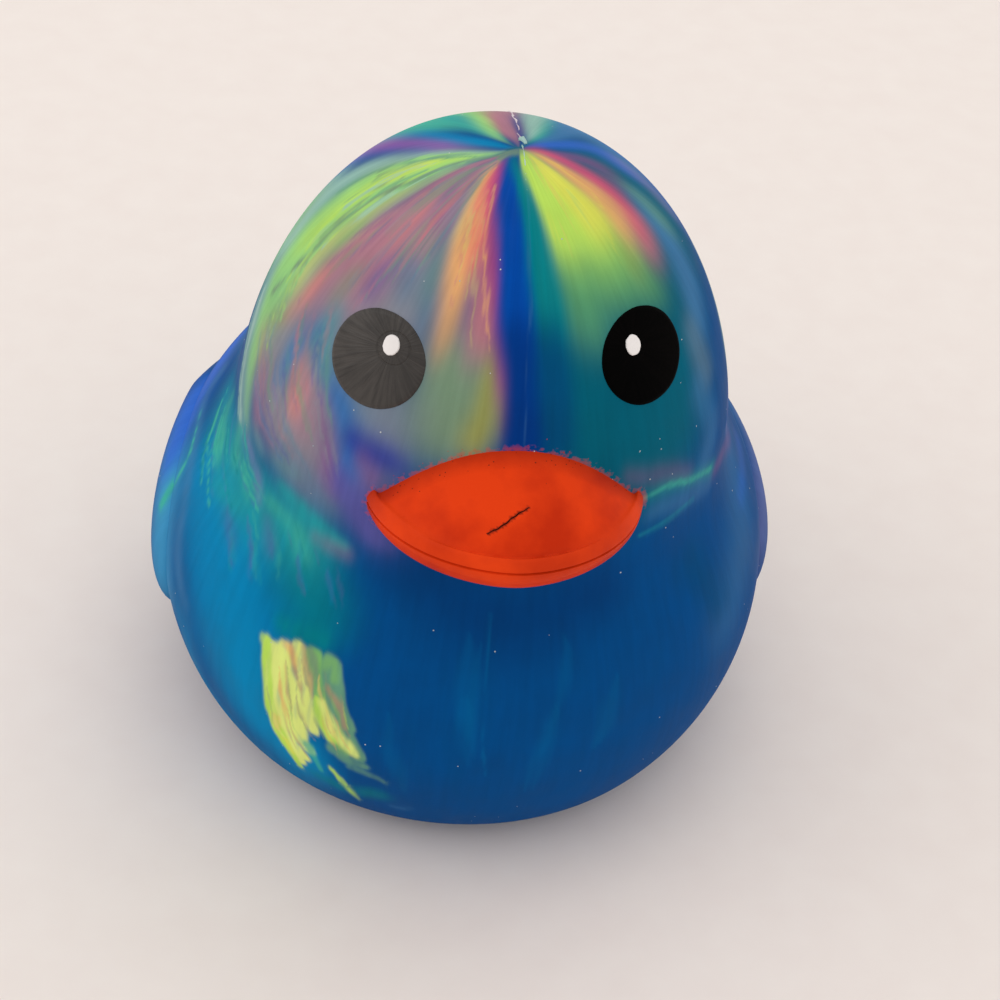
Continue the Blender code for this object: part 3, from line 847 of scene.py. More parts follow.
        ("blue shoulder", "cornflower", 0.9, 0.7, [(240, 335, 12), (212, 375, 16), (186, 420, 15),
                                                   (166, 465, 11)]),
        ("royal shoulder", "cornflower", 0.9, 0.8, [(186, 415, 8), (172, 450, 8)]),
        ("pale shoulder", "steel", 0.7, 0.8, [(225, 365, 6), (204, 400, 7), (196, 440, 7), (186, 490, 8),
                                              (178, 560, 9), (184, 600, 8)]),
        ("jade neck", "jade", 0.95, 0.6, [(234, 392, 4), (224, 420, 8), (220, 448, 10), (218, 462, 7)]),
        ("jade neck two", "jade", 0.85, 0.7, [(240, 425, 6), (236, 455, 10)]),
        ("teal hair one", "teal", 0.7, 0.7, [(230, 402, 1.2), (220, 430, 1.6), (214, 456, 1.4)]),
        ("teal hair two", "teal", 0.6, 0.7, [(234, 412, 1.2), (228, 436, 1.8), (226, 458, 1.4)]),
        ("teal hair three", "teal", 0.7, 0.7, [(240, 432, 2), (238, 450, 3)]),
        ("lavender neck", "lavender", 0.6, 0.9, [(247, 440, 5), (256, 470, 7), (258, 498, 6)]),
        ("jade drip", "jade", 0.8, 0.7, [(244, 464, 4), (247, 484, 6), (246, 498, 3)]),
        ("lagoon neck", "lagoon", 0.7, 0.9, [(215, 485, 9), (236, 505, 10)]),
        ("slate drips", "iris", 0.35, 0.9, [(226, 512, 5), (232, 544, 5)]),
        ("slate drips two", "iris", 0.4, 0.9, [(268, 522, 8), (268, 548, 6)]),
        ("lagoon throat", "lagoon", 0.9, 0.7, [(284, 490, 8), (300, 508, 12), (322, 528, 10), (344, 545, 5)]),
        ("jade throat", "jade", 0.6, 0.8, [(270, 502, 6), (286, 518, 9), (300, 538, 12), (304, 556, 10)]),
        ("mauve throat", "mauve", 0.25, 0.9, [(320, 540, 8), (345, 552, 8)]),
        ("jade streak", "jade", 0.95, 0.6, [(203, 402, 1.2), (192, 446, 1.8), (183, 468, 2.6), (170, 490, 3.2),
                                            (160, 508, 2.4)]),
        ("iris neck", "iris", 0.5, 0.9, [(390, 545, 10), (370, 535, 10)]),
    ],
    "patch on the breast": [
        ("glow above", "teal", 0.7, 0.9, [(285, 626, 12), (320, 640, 12)]),
        ("haze below", "teal", 0.6, 0.9, [(318, 775, 8), (350, 790, 10), (380, 795, 10)]),
        ("ground one", "limeStraw", 1.0, 0.2, [(270, 647, 9), (270, 695, 9), (280, 730, 9), (300, 760, 7)]),
        ("ground slit", "limeStraw", 1.0, 0.25, [(277, 650, 9), (278, 695, 9), (288, 735, 9), (304, 757, 6)]),
        ("ground two", "limeStraw", 1.0, 0.25, [(285, 648, 9), (286, 695, 9), (295, 730, 9), (308, 750, 6)]),
        ("ground three", "limeStraw", 1.0, 0.25, [(299, 649, 9), (303, 695, 9), (309, 718, 9), (313, 730, 6)]),
        ("ground four", "leaf", 0.9, 0.25, [(313, 655, 8), (319, 695, 9), (329, 726, 9), (345, 752, 8)]),
        ("ground five", "moss", 1.0, 0.2, [(328, 662, 9), (334, 700, 9), (346, 732, 9), (360, 758, 7)]),
        ("ground six", "moss", 1.0, 0.2, [(336, 665, 6), (341, 700, 5), (352, 730, 6)]),
        ("green fringe", "moss", 0.85, 0.5, [(332, 748, 7), (352, 762, 7), (368, 768, 4)]),
        ("green foot", "jade", 0.8, 0.6, [(306, 744, 6), (314, 760, 4), (320, 770, 2)]),
        ("lower fringe", "moss", 0.6, 0.6, [(352, 768, 4), (372, 776, 4), (387, 783, 2)]),
        ("tan hair", "tan", 0.8, 0.6, [(291, 645, 3), (294, 668, 3.5), (300, 690, 3)]),
        ("tan hair two", "tan", 0.7, 0.6, [(305, 648, 3), (307, 680, 4), (310, 698, 2)]),
        ("sage band", "sage", 0.8, 0.6, [(311, 650, 3), (314, 680, 4)]),
        ("olive square", "leaf", 0.6, 0.6, [(322, 664, 8), (334, 662, 5), (335, 680, 5)]),
        ("tan square", "tan", 0.7, 0.7, [(328, 688, 4), (338, 704, 4), (346, 728, 4)]),
        ("peach top", "peach", 0.6, 0.8, [(285, 644, 4), (292, 652, 5), (295, 664, 4)]),
        ("lemon middle", "limeStraw", 1.0, 0.6, [(286, 672, 5), (295, 695, 8), (300, 718, 8), (303, 736, 4)]),
        ("lime left", "lime", 1.0, 0.25, [(267, 640, 6), (267, 690, 6.5), (272, 715, 7), (282, 737, 7),
                                          (293, 756, 6), (300, 766, 3)]),
        ("peach blot", "peach", 0.7, 0.8, [(276, 716, 4), (278, 728, 3)]),
        ("lemon foot", "lemon", 0.7, 0.7, [(284, 738, 4), (292, 752, 4)]),
        ("lime right", "lime", 1.0, 0.4, [(316, 700, 5), (322, 720, 8), (332, 738, 7)]),
        ("lemon right", "limeStraw", 1.0, 0.5, [(322, 704, 6), (334, 728, 8), (350, 748, 7), (357, 756, 4)]),
        ("sliver", "lime", 0.9, 0.35, [(331, 768, 2), (340, 778, 4), (350, 790, 3.4), (359, 799, 1.6)]),
        ("pale foot", "steel", 0.6, 0.7, [(392, 806, 3), (412, 809, 3)]),
    ],
    "fine lines": [
        ("parting line", "steel", 0.22, 0.7, [(528, 196, 1.2), (529, 250, 1.2), (530, 320, 1.2), (528, 390, 1.2),
                                              (525, 445, 1.2)]),
        ("parting breast", "ocean", 0.18, 0.7, [(489, 612, 1.2), (488, 660, 1.2), (486, 710, 1.2),
                                                (484, 775, 1.2)]),
        # painted sheen along the left outline of the head
        ("limb sheen", "sheenSage", 0.9, 0.9, [(264, 290, 5), (250, 335, 6), (242, 380, 6), (240, 415, 5)]),
        ("limb line", "mist", 0.8, 0.7, [(258, 300, 2), (248, 335, 2.2), (240, 380, 2), (238, 415, 1.6)]),
        # painted shade just below the pinched crown
        ("pinch shade", "sage", 0.8, 0.8, [(500, 158, 3), (508, 153, 5), (516, 152, 5)]),
        ("pinch shadow", "petrol", 0.8, 0.7, [(506, 150, 1.5), (514, 148, 1.5), (523, 147, 1.5)]),
        ("upper vein", "moss", 0.7, 0.6, [(478, 157, 1.2), (420, 161, 1.6), (388, 168, 1.9), (362, 178, 2),
                                          (338, 192, 1.6)]),
        ("lower vein", "sage", 0.9, 0.6, [(500, 155, 1), (455, 165, 1.4), (412, 181, 1.8), (385, 193, 2),
                                          (360, 207, 2.2), (340, 221, 2.4), (320, 240, 2.4), (303, 257, 2.2),
                                          (288, 272, 2), (272, 292, 2)]),
        ("jade line left", "mint", 0.9, 0.6, [(203, 402, 1.2), (192, 446, 2), (183, 468, 2.6), (170, 490, 3.2),
                                              (160, 508, 2.2)]),
        ("jade line right", "jade", 0.6, 0.8, [(646, 497, 3), (666, 488, 3), (690, 480, 3.5), (710, 469, 3)]),
        ("collar right", "lagoon", 0.35, 0.9, [(640, 536, 3), (668, 520, 4), (692, 500, 3)]),
    ],
}

# the same for what the photograph doesn't show, with (azimuth, polar angle, half width) in degrees
hiddenStrokes = [
    ("nape mauve", "mauve", 0.9, 0.5, [(178, 17, 3), (180, 32, 6), (183, 50, 8), (186, 70, 5)]),
    ("nape plum", "plum", 0.7, 0.7, [(170, 14, 1.5), (171, 34, 3), (174, 56, 3)]),
    ("nape lime", "pistachio", 0.9, 0.5, [(-168, 15, 2), (-165, 30, 4), (-160, 50, 5), (-158, 66, 2)]),
    ("left jade", "jade", 0.9, 0.6, [(-150, 16, 4), (-146, 35, 8), (-142, 60, 9)]),
    ("left orchid", "orchid", 0.9, 0.6, [(-126, 23, 3), (-130, 38, 4), (-136, 56, 4)]),
    ("left ocean", "ocean", 0.8, 0.7, [(-118, 30, 4), (-122, 50, 8), (-126, 72, 10)]),
    ("left pistachio", "pistachio", 0.8, 0.6, [(-108, 36, 6), (-110, 56, 6), (-113, 68, 3)]),
    ("right mist", "mist", 0.9, 0.5, [(158, 14, 4), (155, 34, 7), (150, 56, 7)]),
    ("right steel", "steel", 0.9, 0.6, [(136, 18, 4), (134, 36, 8), (130, 60, 10)]),
    ("right blue", "cornflower", 0.8, 0.6, [(112, 22, 5), (110, 42, 8), (108, 66, 10)]),
    ("back teal", "lagoon", 0.6, 0.8, [(-160, 84, 8), (-150, 104, 12), (-140, 122, 10)]),
    ("back iris", "iris", 0.6, 0.8, [(160, 84, 8), (150, 104, 10), (144, 124, 8)]),
    ("tail ocean", "ocean", 0.8, 0.8, [(180, 72, 9), (180, 92, 12), (180, 116, 10)]),
    ("tail jade", "jade", 0.7, 0.6, [(176, 66, 2), (174, 82, 3), (170, 100, 3)]),
    ("rump lime", "lime", 0.8, 0.5, [(158, 112, 2), (154, 120, 4), (150, 130, 3)]),
    ("right wing steel", "steel", 0.5, 0.9, [(112, 92, 10), (120, 108, 10)]),
]

# hairlines drawn between two guide paths: they follow the flow of the rubber
hairSets = {
    "left fan": {
        "pigments": ("moss", "pistachio", "lime", "mist", "sage"),
        "count": 34, "halfWidth": (0.9, 1.9), "strength": (0.35, 0.75),
        "first": [(503, 151), (460, 153), (420, 157), (380, 170), (340, 194), (305, 230), (275, 285), (256, 350)],
        "second": [(501, 155), (462, 166), (425, 180), (385, 200), (350, 226), (320, 256), (292, 300), (276, 350)],
    },
    "mauve rays": {
        "pigments": ("mauve", "slate", "rose", "moss", "plum", "fog", "sage", "mauve"),
        "count": 56, "halfWidth": (0.9, 2.6), "strength": (0.25, 0.55),
        "first": [(501, 155), (465, 168), (430, 184), (395, 206), (360, 233), (325, 266), (292, 305)],
        "second": [(502, 160), (486, 178), (466, 204), (448, 230), (430, 256), (408, 290), (385, 318)],
    },
    "warm ray": {
        "pigments": ("peach", "coral", "rose", "straw", "tan"),
        "count": 20, "halfWidth": (0.9, 2.0), "strength": (0.2, 0.45),
        "first": [(498, 164), (482, 185), (468, 212), (458, 245), (448, 290), (440, 335)],
        "second": [(503, 166), (496, 190), (491, 215), (489, 250), (490, 300), (492, 350)],
    },
    "lime wedge": {
        "pigments": ("lemon", "lime", "pistachio", "peach"),
        "count": 16, "halfWidth": (1.0, 2.4), "strength": (0.15, 0.3),
        "first": [(526, 155), (534, 180), (546, 210), (560, 245), (572, 285)],
        "second": [(534, 151), (560, 165), (590, 190), (612, 220), (628, 260)],
    },
    "left cheek": {
        "pigments": ("mauve", "steel", "fog", "rose", "iris", "moss"),
        "count": 46, "halfWidth": (1.6, 3.6), "strength": (0.15, 0.4),
        "first": [(268, 300), (258, 345), (254, 390), (262, 430), (284, 468)],
        "second": [(345, 300), (334, 345), (330, 390), (338, 440), (352, 492)],
    },
    "neck": {
        "pigments": ("jade", "mint", "teal", "lagoon", "steel"),
        "count": 40, "halfWidth": (1.1, 2.4), "strength": (0.3, 0.7),
        "first": [(228, 382), (214, 410), (204, 440), (198, 475), (196, 510)],
        "second": [(246, 418), (246, 440), (252, 465), (266, 492), (282, 520)],
    },
    "throat": {
        "pigments": ("jade", "teal", "iris", "lagoon", "ocean"),
        "count": 26, "halfWidth": (1.8, 4.0), "strength": (0.12, 0.3),
        "first": [(222, 488), (224, 515), (226, 545), (228, 580)],
        "second": [(330, 530), (336, 555), (340, 580), (344, 610)],
    },
    "patch": {
        "pigments": ("lime", "limeStraw", "tan", "sage", "peach", "leaf"),
        "count": 34, "halfWidth": (0.9, 2.2), "strength": (0.25, 0.5),
        "first": [(266, 646), (266, 690), (274, 725), (293, 760)],
        "second": [(337, 664), (342, 700), (350, 728), (364, 758)],
    },
    "breast": {
        "pigments": ("ocean", "navyTeal", "deepBlue"),
        "count": 22, "halfWidth": (5.0, 11.0), "strength": (0.06, 0.14),
        "first": [(380, 610), (378, 680), (384, 750), (400, 800)],
        "second": [(690, 600), (680, 660), (655, 725), (610, 785)],
    },
}

strokeStep = {
    "hairSeed": 7,
    "hairPoints": 7,
    "hairWobble": 0.012,
    "pixels": 7.0,             # spacing of the points along a stroke
    "degrees": 2.0,
    "warp": 0.0003,            # how far noise bends the strokes, in metres
    "warpScale": 160.0,
    "streakShift": 0.0007,     # how far streaks comb the strokes' edges
    "streakCalm": 0.016,       # within this of the crown's axis they are calmer
    "streakTurns": (16.0, 44.0),
    "streakRun": 2.6,
    "streakLayers": 4,
    "streakEdge": (-0.05, 0.40),
}

# how many times the colours are blended with their neighbours after a region is painted
softening = {
    "grounds": 26,
    "behind the crown": 3,
    "right of the crown": 5,
    "between the eyes": 5,
    "fields left of the head": 5,
    "left of the head": 3,
    "right of the face": 4,
    "left of the neck": 3,
    "patch on the breast": 1,
    "fine lines": 0,
}

# how much the streaks thin the strokes of a region
streakFade = {
    "grounds": 0.12,
    "behind the crown": 0.25,
    "right of the crown": 0.25,
    "between the eyes": 0.12,
    "fields left of the head": 0.3,
    "left of the head": 0.4,
    "right of the face": 0.35,
    "left of the neck": 0.45,
    "patch on the breast": 0.25,
    "fine lines": 0.35,
}


def smoothPath(path, step):
    # a smooth curve through the path's points, at an even spacing
    knots = np.array(path, dtype=float)
    padded = np.vstack([2 * knots[0] - knots[1], knots, 2 * knots[-1] - knots[-2]])
    rows = []
    for i in range(1, len(padded) - 2):
        before, start, end, after = padded[i - 1:i + 3]
        count = max(2, int(np.linalg.norm((end - start)[:2]) / step) + 1)
        for share in np.linspace(0, 1, count, endpoint=False):
            rows.append(0.5 * (2 * start + (end - before) * share
                               + (2 * before - 5 * start + 4 * end - after) * share**2
                               + (3 * start - before - 3 * end + after) * share**3))
    rows.append(knots[-1])
    return np.array(rows)


def guideAt(guide, shares):
    knots = np.array(guide, dtype=float)
    at = np.linspace(0, 1, len(knots))
    return np.stack([np.interp(shares, at, knots[:, 0]), np.interp(shares, at, knots[:, 1])], axis=1)


def makeHairs():
    dice = np.random.default_rng(strokeStep["hairSeed"])
    hairs = []
    for name, sort in hairSets.items():
        for _ in range(sort["count"]):
            start = dice.uniform(0.0, 0.55)
            shares = np.linspace(start, min(1.0, start + dice.uniform(0.25, 0.6)), strokeStep["hairPoints"])
            between = dice.uniform(0.0, 1.0) + strokeStep["hairWobble"] * np.cumsum(
                dice.normal(0, 0.5, len(shares)))
            between = np.clip(between, 0, 1)[:, None]
            line = guideAt(sort["first"], shares) * (1 - between) + guideAt(sort["second"], shares) * between
            broad = dice.uniform(*sort["halfWidth"]) * np.sin(np.linspace(0.25, 2.9, len(shares)))
            path = [(*point, max(wide, 0.5)) for point, wide in zip(line, broad)]
            hairs.append((name, sort["pigments"][dice.integers(len(sort["pigments"]))],
                          dice.uniform(*sort["strength"]), 0.8, path))
    return hairs


def crownPoint(azimuth, polar):
    # the skin's point at an azimuth round the pinch and a polar angle from it, in degrees
    turn = crownTurn()
    azimuth, polar = np.radians(azimuth), np.radians(polar)
    local = np.stack([np.sin(polar) * np.sin(azimuth), -np.sin(polar) * np.cos(azimuth),
                      np.cos(polar)], axis=1)
    return castOut(skinField, local @ turn.T, heart)


def strokeOnSkin(path, hidden):
    fine = smoothPath(path, strokeStep["degrees"] if hidden else strokeStep["pixels"])
    if hidden:
        points = crownPoint(fine[:, 0], fine[:, 1])
        radii = np.radians(fine[:, 2]) * np.linalg.norm(points - heart, axis=1)
    else:
        points = castFromPhoto(fine[:, :2], outerField)
        perPixel = cameraView["sensor"] / cameraView["lens"] / cameraView["photoSize"]
        radii = fine[:, 2] * perPixel * np.linalg.norm(points - cameraPlace, axis=1)
    return points, np.maximum(radii, 1e-4)


def paintStroke(colours, places, stroke, hidden, thinning):
    name, pigment, strength, feather, path = stroke
    points, radii = strokeOnSkin(path, hidden)
    middle = points.mean(axis=0)
    reach = np.linalg.norm(points - middle, axis=1).max() + radii.max() * (1 + feather)
    chosen = np.nonzero(np.linalg.norm(places - middle, axis=1) < reach)[0]
    near = places[chosen]
    cover = np.zeros(len(chosen))
    for start, end, first, last in zip(points[:-1], points[1:], radii[:-1], radii[1:]):
        along = end - start
        share = np.clip((near - start) @ along / max(along @ along, 1e-12), 0.0, 1.0)
        away = np.linalg.norm(near - start - share[:, None] * along, axis=1)
        ratio = away / (first + (last - first) * share)
        cover = np.maximum(cover, 1 - smooth(1 - feather, 1 + feather, ratio))
    cover = cover * strength * (1 - thinning[chosen])
    colours[chosen] += (np.array(pigments[pigment][:3]) - colours[chosen]) * cover[:, None]


def softened(colours, ends, rounds):
    # each point's colour moves halfway to its neighbours' mean, so many times
    count = len(colours)
    degree = np.maximum(np.bincount(ends.ravel(), minlength=count), 1)
    for _ in range(rounds):
        for channel in range(3):
            shade = colours[:, channel]
            total = np.bincount(ends[:, 0], shade[ends[:, 1]], count) + np.bincount(
                ends[:, 1], shade[ends[:, 0]], count)
            colours[:, channel] = (shade + total / degree) / 2


def outerField(points):
    return np.minimum(skinField(points), wingField(points))


def fanOf(places):
    # cosine and sine of the azimuth round the pinch, the polar angle, and the distance from its axis
    local = (places - heart) @ crownTurn()
    axisGap = np.hypot(local[:, 0], local[:, 1])
    safe = np.maximum(axisGap, 1e-9)
    polar = np.arctan2(axisGap, local[:, 2])
    return local[:, 0] / safe, -local[:, 1] / safe, polar, axisGap


def streakNoise(fan, turns, seed):
    rows = np.stack([fan[0] * turns, fan[1] * turns, fan[2] * strokeStep["streakRun"] + seed], axis=1)
    return np.array([noise.noise(row) for row in rows])


def combed(places, fan):
    # the places moved a little round the crown's axis and by soft noise, so that edges fray in streaks
    scale = strokeStep["warpScale"]
    shifts = np.array([noise.noise_vector(Vector(place) * scale) for place in places])
    turn = crownTurn()
    sideways = np.stack([fan[1], fan[0], np.zeros(len(places))], axis=1) @ turn.T
    coarse, fine = [streakNoise(fan, turns, 5.0) for turns in strokeStep["streakTurns"]]
    reach = strokeStep["streakShift"] * smooth(0.0, strokeStep["streakCalm"], fan[3])
    return places + strokeStep["warp"] * shifts + sideways * ((coarse + 0.7 * fine) * reach)[:, None]


def paintMarbling(piece):
    mesh = piece.data
    flat = np.zeros(len(mesh.vertices) * 3)
    mesh.vertices.foreach_get("co", flat)
    fan = fanOf(flat.reshape(-1, 3))
    places = combed(flat.reshape(-1, 3), fan)
    layers = [smooth(*strokeStep["streakEdge"], streakNoise(fan, strokeStep["streakTurns"][1], 11.0 * seed))
              for seed in range(strokeStep["streakLayers"])]
    colours = np.tile(np.array(pigments["deepBlue"][:3]), (len(places), 1))
    for count, stroke in enumerate(hiddenStrokes):
        paintStroke(colours, places, stroke, True, 0.3 * layers[count % len(layers)])
    ends = np.zeros(len(mesh.edges) * 2, dtype=np.int32)
    mesh.edges.foreach_get("vertices", ends)
    ends = ends.reshape(-1, 2)
    for region, members in strokes.items():
        for count, stroke in enumerate(members):
            paintStroke(colours, places, stroke, False, streakFade[region] * layers[count % len(layers)])
        softened(colours, ends, softening[region])
        if region == "patch on the breast":
            for hair in makeHairs():
                paintStroke(colours, places, hair, False, np.zeros(len(places)))
    fanField = mesh.attributes.new("fan", "FLOAT_VECTOR", "POINT")
    fanField.data.foreach_set("vector", np.stack(fan[:3], axis=1).ravel())
    attribute = mesh.color_attributes.new("pigment", "FLOAT_COLOR", "POINT")
    attribute.data.foreach_set("color", np.column_stack([colours, np.ones(len(colours))]).ravel())


def markSkin():
    # the gap to the beak for the overspray, and how thickly the dust lies
    places = meshPlaces(duckSkin)
    gap = np.full(len(places), 1.0)
    near = np.nonzero(np.linalg.norm(places - beakCentre, axis=1) < oversprayShape["reach"])[0]
    for i in range(0, len(near), 400):
        block = near[i:i + 400]
        gap[block] = np.linalg.norm(places[block][:, None] - beakEdge[None], axis=2).min(axis=1)
    addField(duckSkin, "beakGap", gap)
    outside = skinField(places) > -oversprayShape["skinDepth"]
    above = smooth(-0.001, 0.003, places[:, 2] - beakCentre[2])
    addField(duckSkin, "overspray", np.exp(-((gap / oversprayShape["fall"]) ** 2)) * above * outside)
    patchy = np.array([noise.noise(Vector(place) * dustShape["patchScale"]) for place in places])
    dusty = 0.25 + smooth(0.0, 0.5, patchy)
    cheek = np.linalg.norm(places - castFromPhoto([dustShape["cheek"]]), axis=1)
    dusty += dustShape["cheekExtra"] * np.exp(-((cheek / dustShape["cheekReach"]) ** 2))
    addField(duckSkin, "dust", dusty * outside)


oversprayShape = {
    "reach": 0.030,
    "fall": 0.0008,
    "skinDepth": 0.0004,
    "density": 0.7e6,
    "size": (0.00004, 0.00010),
    "lift": 0.3,
}
dustShape = {
    "patchScale": 70.0,
    "cheek": (662, 440),
    "cheekReach": 0.011,
    "cheekExtra": 3.0,
    "density": 15000.0,
    "size": (0.00005, 0.00012),
    "lift": 0.45,
}
gritShape = {
    "density": 5.0e5,
    "size": (0.00004, 0.00009),
    "lift": 0.4,
}

paintMarbling(duckSkin)
markSkin()
print("marbling painted:", sum(map(len, strokes.values())) + len(hiddenStrokes), "strokes")


# Materials

def newMaterial(name, roughness):
    material = bpy.data.materials.new(name)
    material.use_nodes = True
    shader = material.node_tree.nodes["Principled BSDF"]
    shader.inputs["Roughness"].default_value = roughness
    return material, material.node_tree, shader


def node(tree, kind, place, **values):
    made = tree.nodes.new(kind)
    made.location = place
    for key, value in values.items():
        setattr(made, key, value)
    return made


def feed(tree, socket, value):
    if isinstance(value, bpy.types.NodeSocket):
        tree.links.new(value, socket)
    else:
        socket.default_value = value


def mixed(tree, place, factor, first, second):
    made = node(tree, "ShaderNodeMix", place, data_type="RGBA")
    feed(tree, made.inputs[0], factor)
    feed(tree, made.inputs[6], first)
    feed(tree, made.inputs[7], second)
    return made.outputs[2]


def ranged(tree, place, value, low, high, toLow, toHigh):
    made = node(tree, "ShaderNodeMapRange", place, clamp=True)
    for socket, given in zip(made.inputs, (value, low, high, toLow, toHigh)):
        feed(tree, socket, given)
    return made.outputs[0]


def newGroup(name, sockets):
    group = bpy.data.node_groups.new(name, "ShaderNodeTree")
    for label, side, kind in sockets:
        group.interface.new_socket(name=label, in_out=side, socket_type=kind)
    start = node(group, "NodeGroupInput", (-800, 0))
    end = node(group, "NodeGroupOutput", (500, 0))
    return group, start, end


def used(tree, group, place, **values):
    made = node(tree, "ShaderNodeGroup", place, node_tree=group)
    for key, value in values.items():
        feed(tree, made.inputs[key], value)
    return made


def grainGroup():
    # a matt, finely pitted surface, with a soft mottle
    group, start, end = newGroup("mattGrain", (
        ("Scale", "INPUT", "NodeSocketFloat"), ("Depth", "INPUT", "NodeSocketFloat"),
        ("Mottle", "OUTPUT", "NodeSocketFloat"), ("Normal", "OUTPUT", "NodeSocketVector")))
    place = node(group, "ShaderNodeTexCoord", (-800, 300)).outputs["Object"]
    fine = node(group, "ShaderNodeTexNoise", (-500, 200))
    fine.inputs["Detail"].default_value = 3.0
    broad = node(group, "ShaderNodeTexNoise", (-500, -100))
    broad.inputs["Scale"].default_value = 140.0
    broad.inputs["Detail"].default_value = 4.0
    pits = node(group, "ShaderNodeTexVoronoi", (-500, -400))
    half = node(group, "ShaderNodeMath", (-700, -300), operation="MULTIPLY")
    half.inputs[1].default_value = 0.4
    for texture in (fine, broad, pits):
        group.links.new(place, texture.inputs["Vector"])
    group.links.new(start.outputs["Scale"], fine.inputs["Scale"])
    group.links.new(start.outputs["Scale"], half.inputs[0])
    group.links.new(half.outputs[0], pits.inputs["Scale"])
    depth = node(group, "ShaderNodeMath", (-200, 0), operation="ADD")
    pitted = ranged(group, (-300, -300), pits.outputs["Distance"], 0.0, 0.35, -0.6, 0.0)
    group.links.new(fine.outputs[0], depth.inputs[0])
    group.links.new(pitted, depth.inputs[1])
    bump = node(group, "ShaderNodeBump", (100, 0))
    group.links.new(depth.outputs[0], bump.inputs["Height"])
    group.links.new(start.outputs["Depth"], bump.inputs["Distance"])
    group.links.new(broad.outputs[0], end.inputs["Mottle"])
    group.links.new(bump.outputs[0], end.inputs["Normal"])
    return group


def flowGroup():
    # streaks that run away from the crown, finer than the painted ones
    group, start, end = newGroup("flowLines", (
        ("Turns", "INPUT", "NodeSocketFloat"), ("Run", "INPUT", "NodeSocketFloat"),
        ("Streak", "OUTPUT", "NodeSocketFloat")))
    fan = node(group, "ShaderNodeAttribute", (-800, 300), attribute_name="fan").outputs["Vector"]
    stretch = node(group, "ShaderNodeCombineXYZ", (-600, -100))
    for i, name in ((0, "Turns"), (1, "Turns"), (2, "Run")):
        group.links.new(start.outputs[name], stretch.inputs[i])
    scaled = node(group, "ShaderNodeVectorMath", (-400, 100), operation="MULTIPLY")
    group.links.new(fan, scaled.inputs[0])
    group.links.new(stretch.outputs[0], scaled.inputs[1])
    lines = node(group, "ShaderNodeTexNoise", (-150, 100))
    lines.inputs["Scale"].default_value = 1.0
    lines.inputs["Detail"].default_value = 5.0
    group.links.new(scaled.outputs[0], lines.inputs["Vector"])
    group.links.new(lines.outputs[0], end.inputs["Streak"])
    return group


mattGrain = grainGroup()
flowLines = flowGroup()

rubberLook = {
    "roughness": (0.50, 0.66),
    "specular": 0.03,
    "sheen": 0.0,
    "sheenRoughness": 0.35,
    "grainScale": 2600.0,
    "grainDepth": 0.000012,
    "streakTurns": 34.0,
    "streakRun": 4.0,
    "streakValue": (0.95, 1.06),
    "mottleValue": (0.94, 1.06),
    "overspray": srgb(206, 62, 24),
}
beakLook = {
    "bright": srgb(224, 60, 10),
    "dull": srgb(192, 42, 2),
    # a painted highlight on the bill's rounded rim
    "rim": srgb(234, 78, 30),
    # painted shade where the beak meets the head
    "shade": srgb(150, 34, 8),
    # painted shade in and round the crack
    "crack": srgb(62, 16, 8),
    "roughness": (0.44, 0.62),
    "specular": 0.07,
    "grainScale": 1900.0,
    "grainDepth": 0.00002,
}
eyeLook = {
    # the Right eye's grey-brown tones are painted sheen on its wrinkled black paint; the Left eye stays black
    "Right": {"dark": srgb(40, 37, 35), "light": srgb(62, 58, 55), "roughness": 0.40, "wrinkle": 0.00012,
              "specular": 0.35, "ring": 0.33},
    "Left": {"dark": srgb(3, 3, 3), "light": srgb(6, 5, 5), "roughness": 0.5, "wrinkle": 0.000015,
             "specular": 0.01, "ring": 0.33},
}


def setSpecular(shader, level, sheen=0.0, sheenRoughness=0.5):
    shader.inputs["Specular IOR Level"].default_value = level
    shader.inputs["Sheen Weight"].default_value = sheen
    shader.inputs["Sheen Roughness"].default_value = sheenRoughness


def brightened(tree, place, colour, value):
    made = node(tree, "ShaderNodeHueSaturation", place)
    feed(tree, made.inputs["Value"], value)
    feed(tree, made.inputs["Color"], colour)
    return made.outputs[0]


def marbledRubber():
    look = rubberLook
    material, tree, shader = newMaterial("marbledRubber", look["roughness"][0])
    pigment = node(tree, "ShaderNodeAttribute", (-1200, 300), attribute_name="pigment").outputs["Color"]
    grain = used(tree, mattGrain, (-1200, -300), Scale=look["grainScale"], Depth=look["grainDepth"])
    flow = used(tree, flowLines, (-1200, 0), Turns=look["streakTurns"], Run=look["streakRun"])
    streaky = ranged(tree, (-950, 0), flow.outputs["Streak"], 0.3, 0.7, *look["streakValue"])
    mottled = ranged(tree, (-950, -250), grain.outputs["Mottle"], 0.3, 0.7, *look["mottleValue"])
    colour = brightened(tree, (-700, 300), pigment, streaky)
    colour = brightened(tree, (-500, 300), colour, mottled)
    gap = node(tree, "ShaderNodeAttribute", (-1200, 600), attribute_name="beakGap").outputs["Fac"]
    speckle = node(tree, "ShaderNodeTexNoise", (-1000, 800))
    speckle.inputs["Scale"].default_value = 1500.0
    tree.links.new(node(tree, "ShaderNodeTexCoord", (-1200, 850)).outputs["Object"], speckle.inputs["Vector"])
    ragged = ranged(tree, (-800, 800), speckle.outputs[0], 0.4, 0.62, 0.0002, 0.0008)
    haze = ranged(tree, (-550, 650), gap, 0.0, ragged, 0.6, 0.0)
    tree.links.new(mixed(tree, (-300, 400), haze, colour, look["overspray"]), shader.inputs["Base Color"])
    tree.links.new(ranged(tree, (-300, 0), grain.outputs["Mottle"], 0.3, 0.7, *look["roughness"]),
                   shader.inputs["Roughness"])
    tree.links.new(grain.outputs["Normal"], shader.inputs["Normal"])
    setSpecular(shader, look["specular"], look["sheen"], look["sheenRoughness"])
    return material


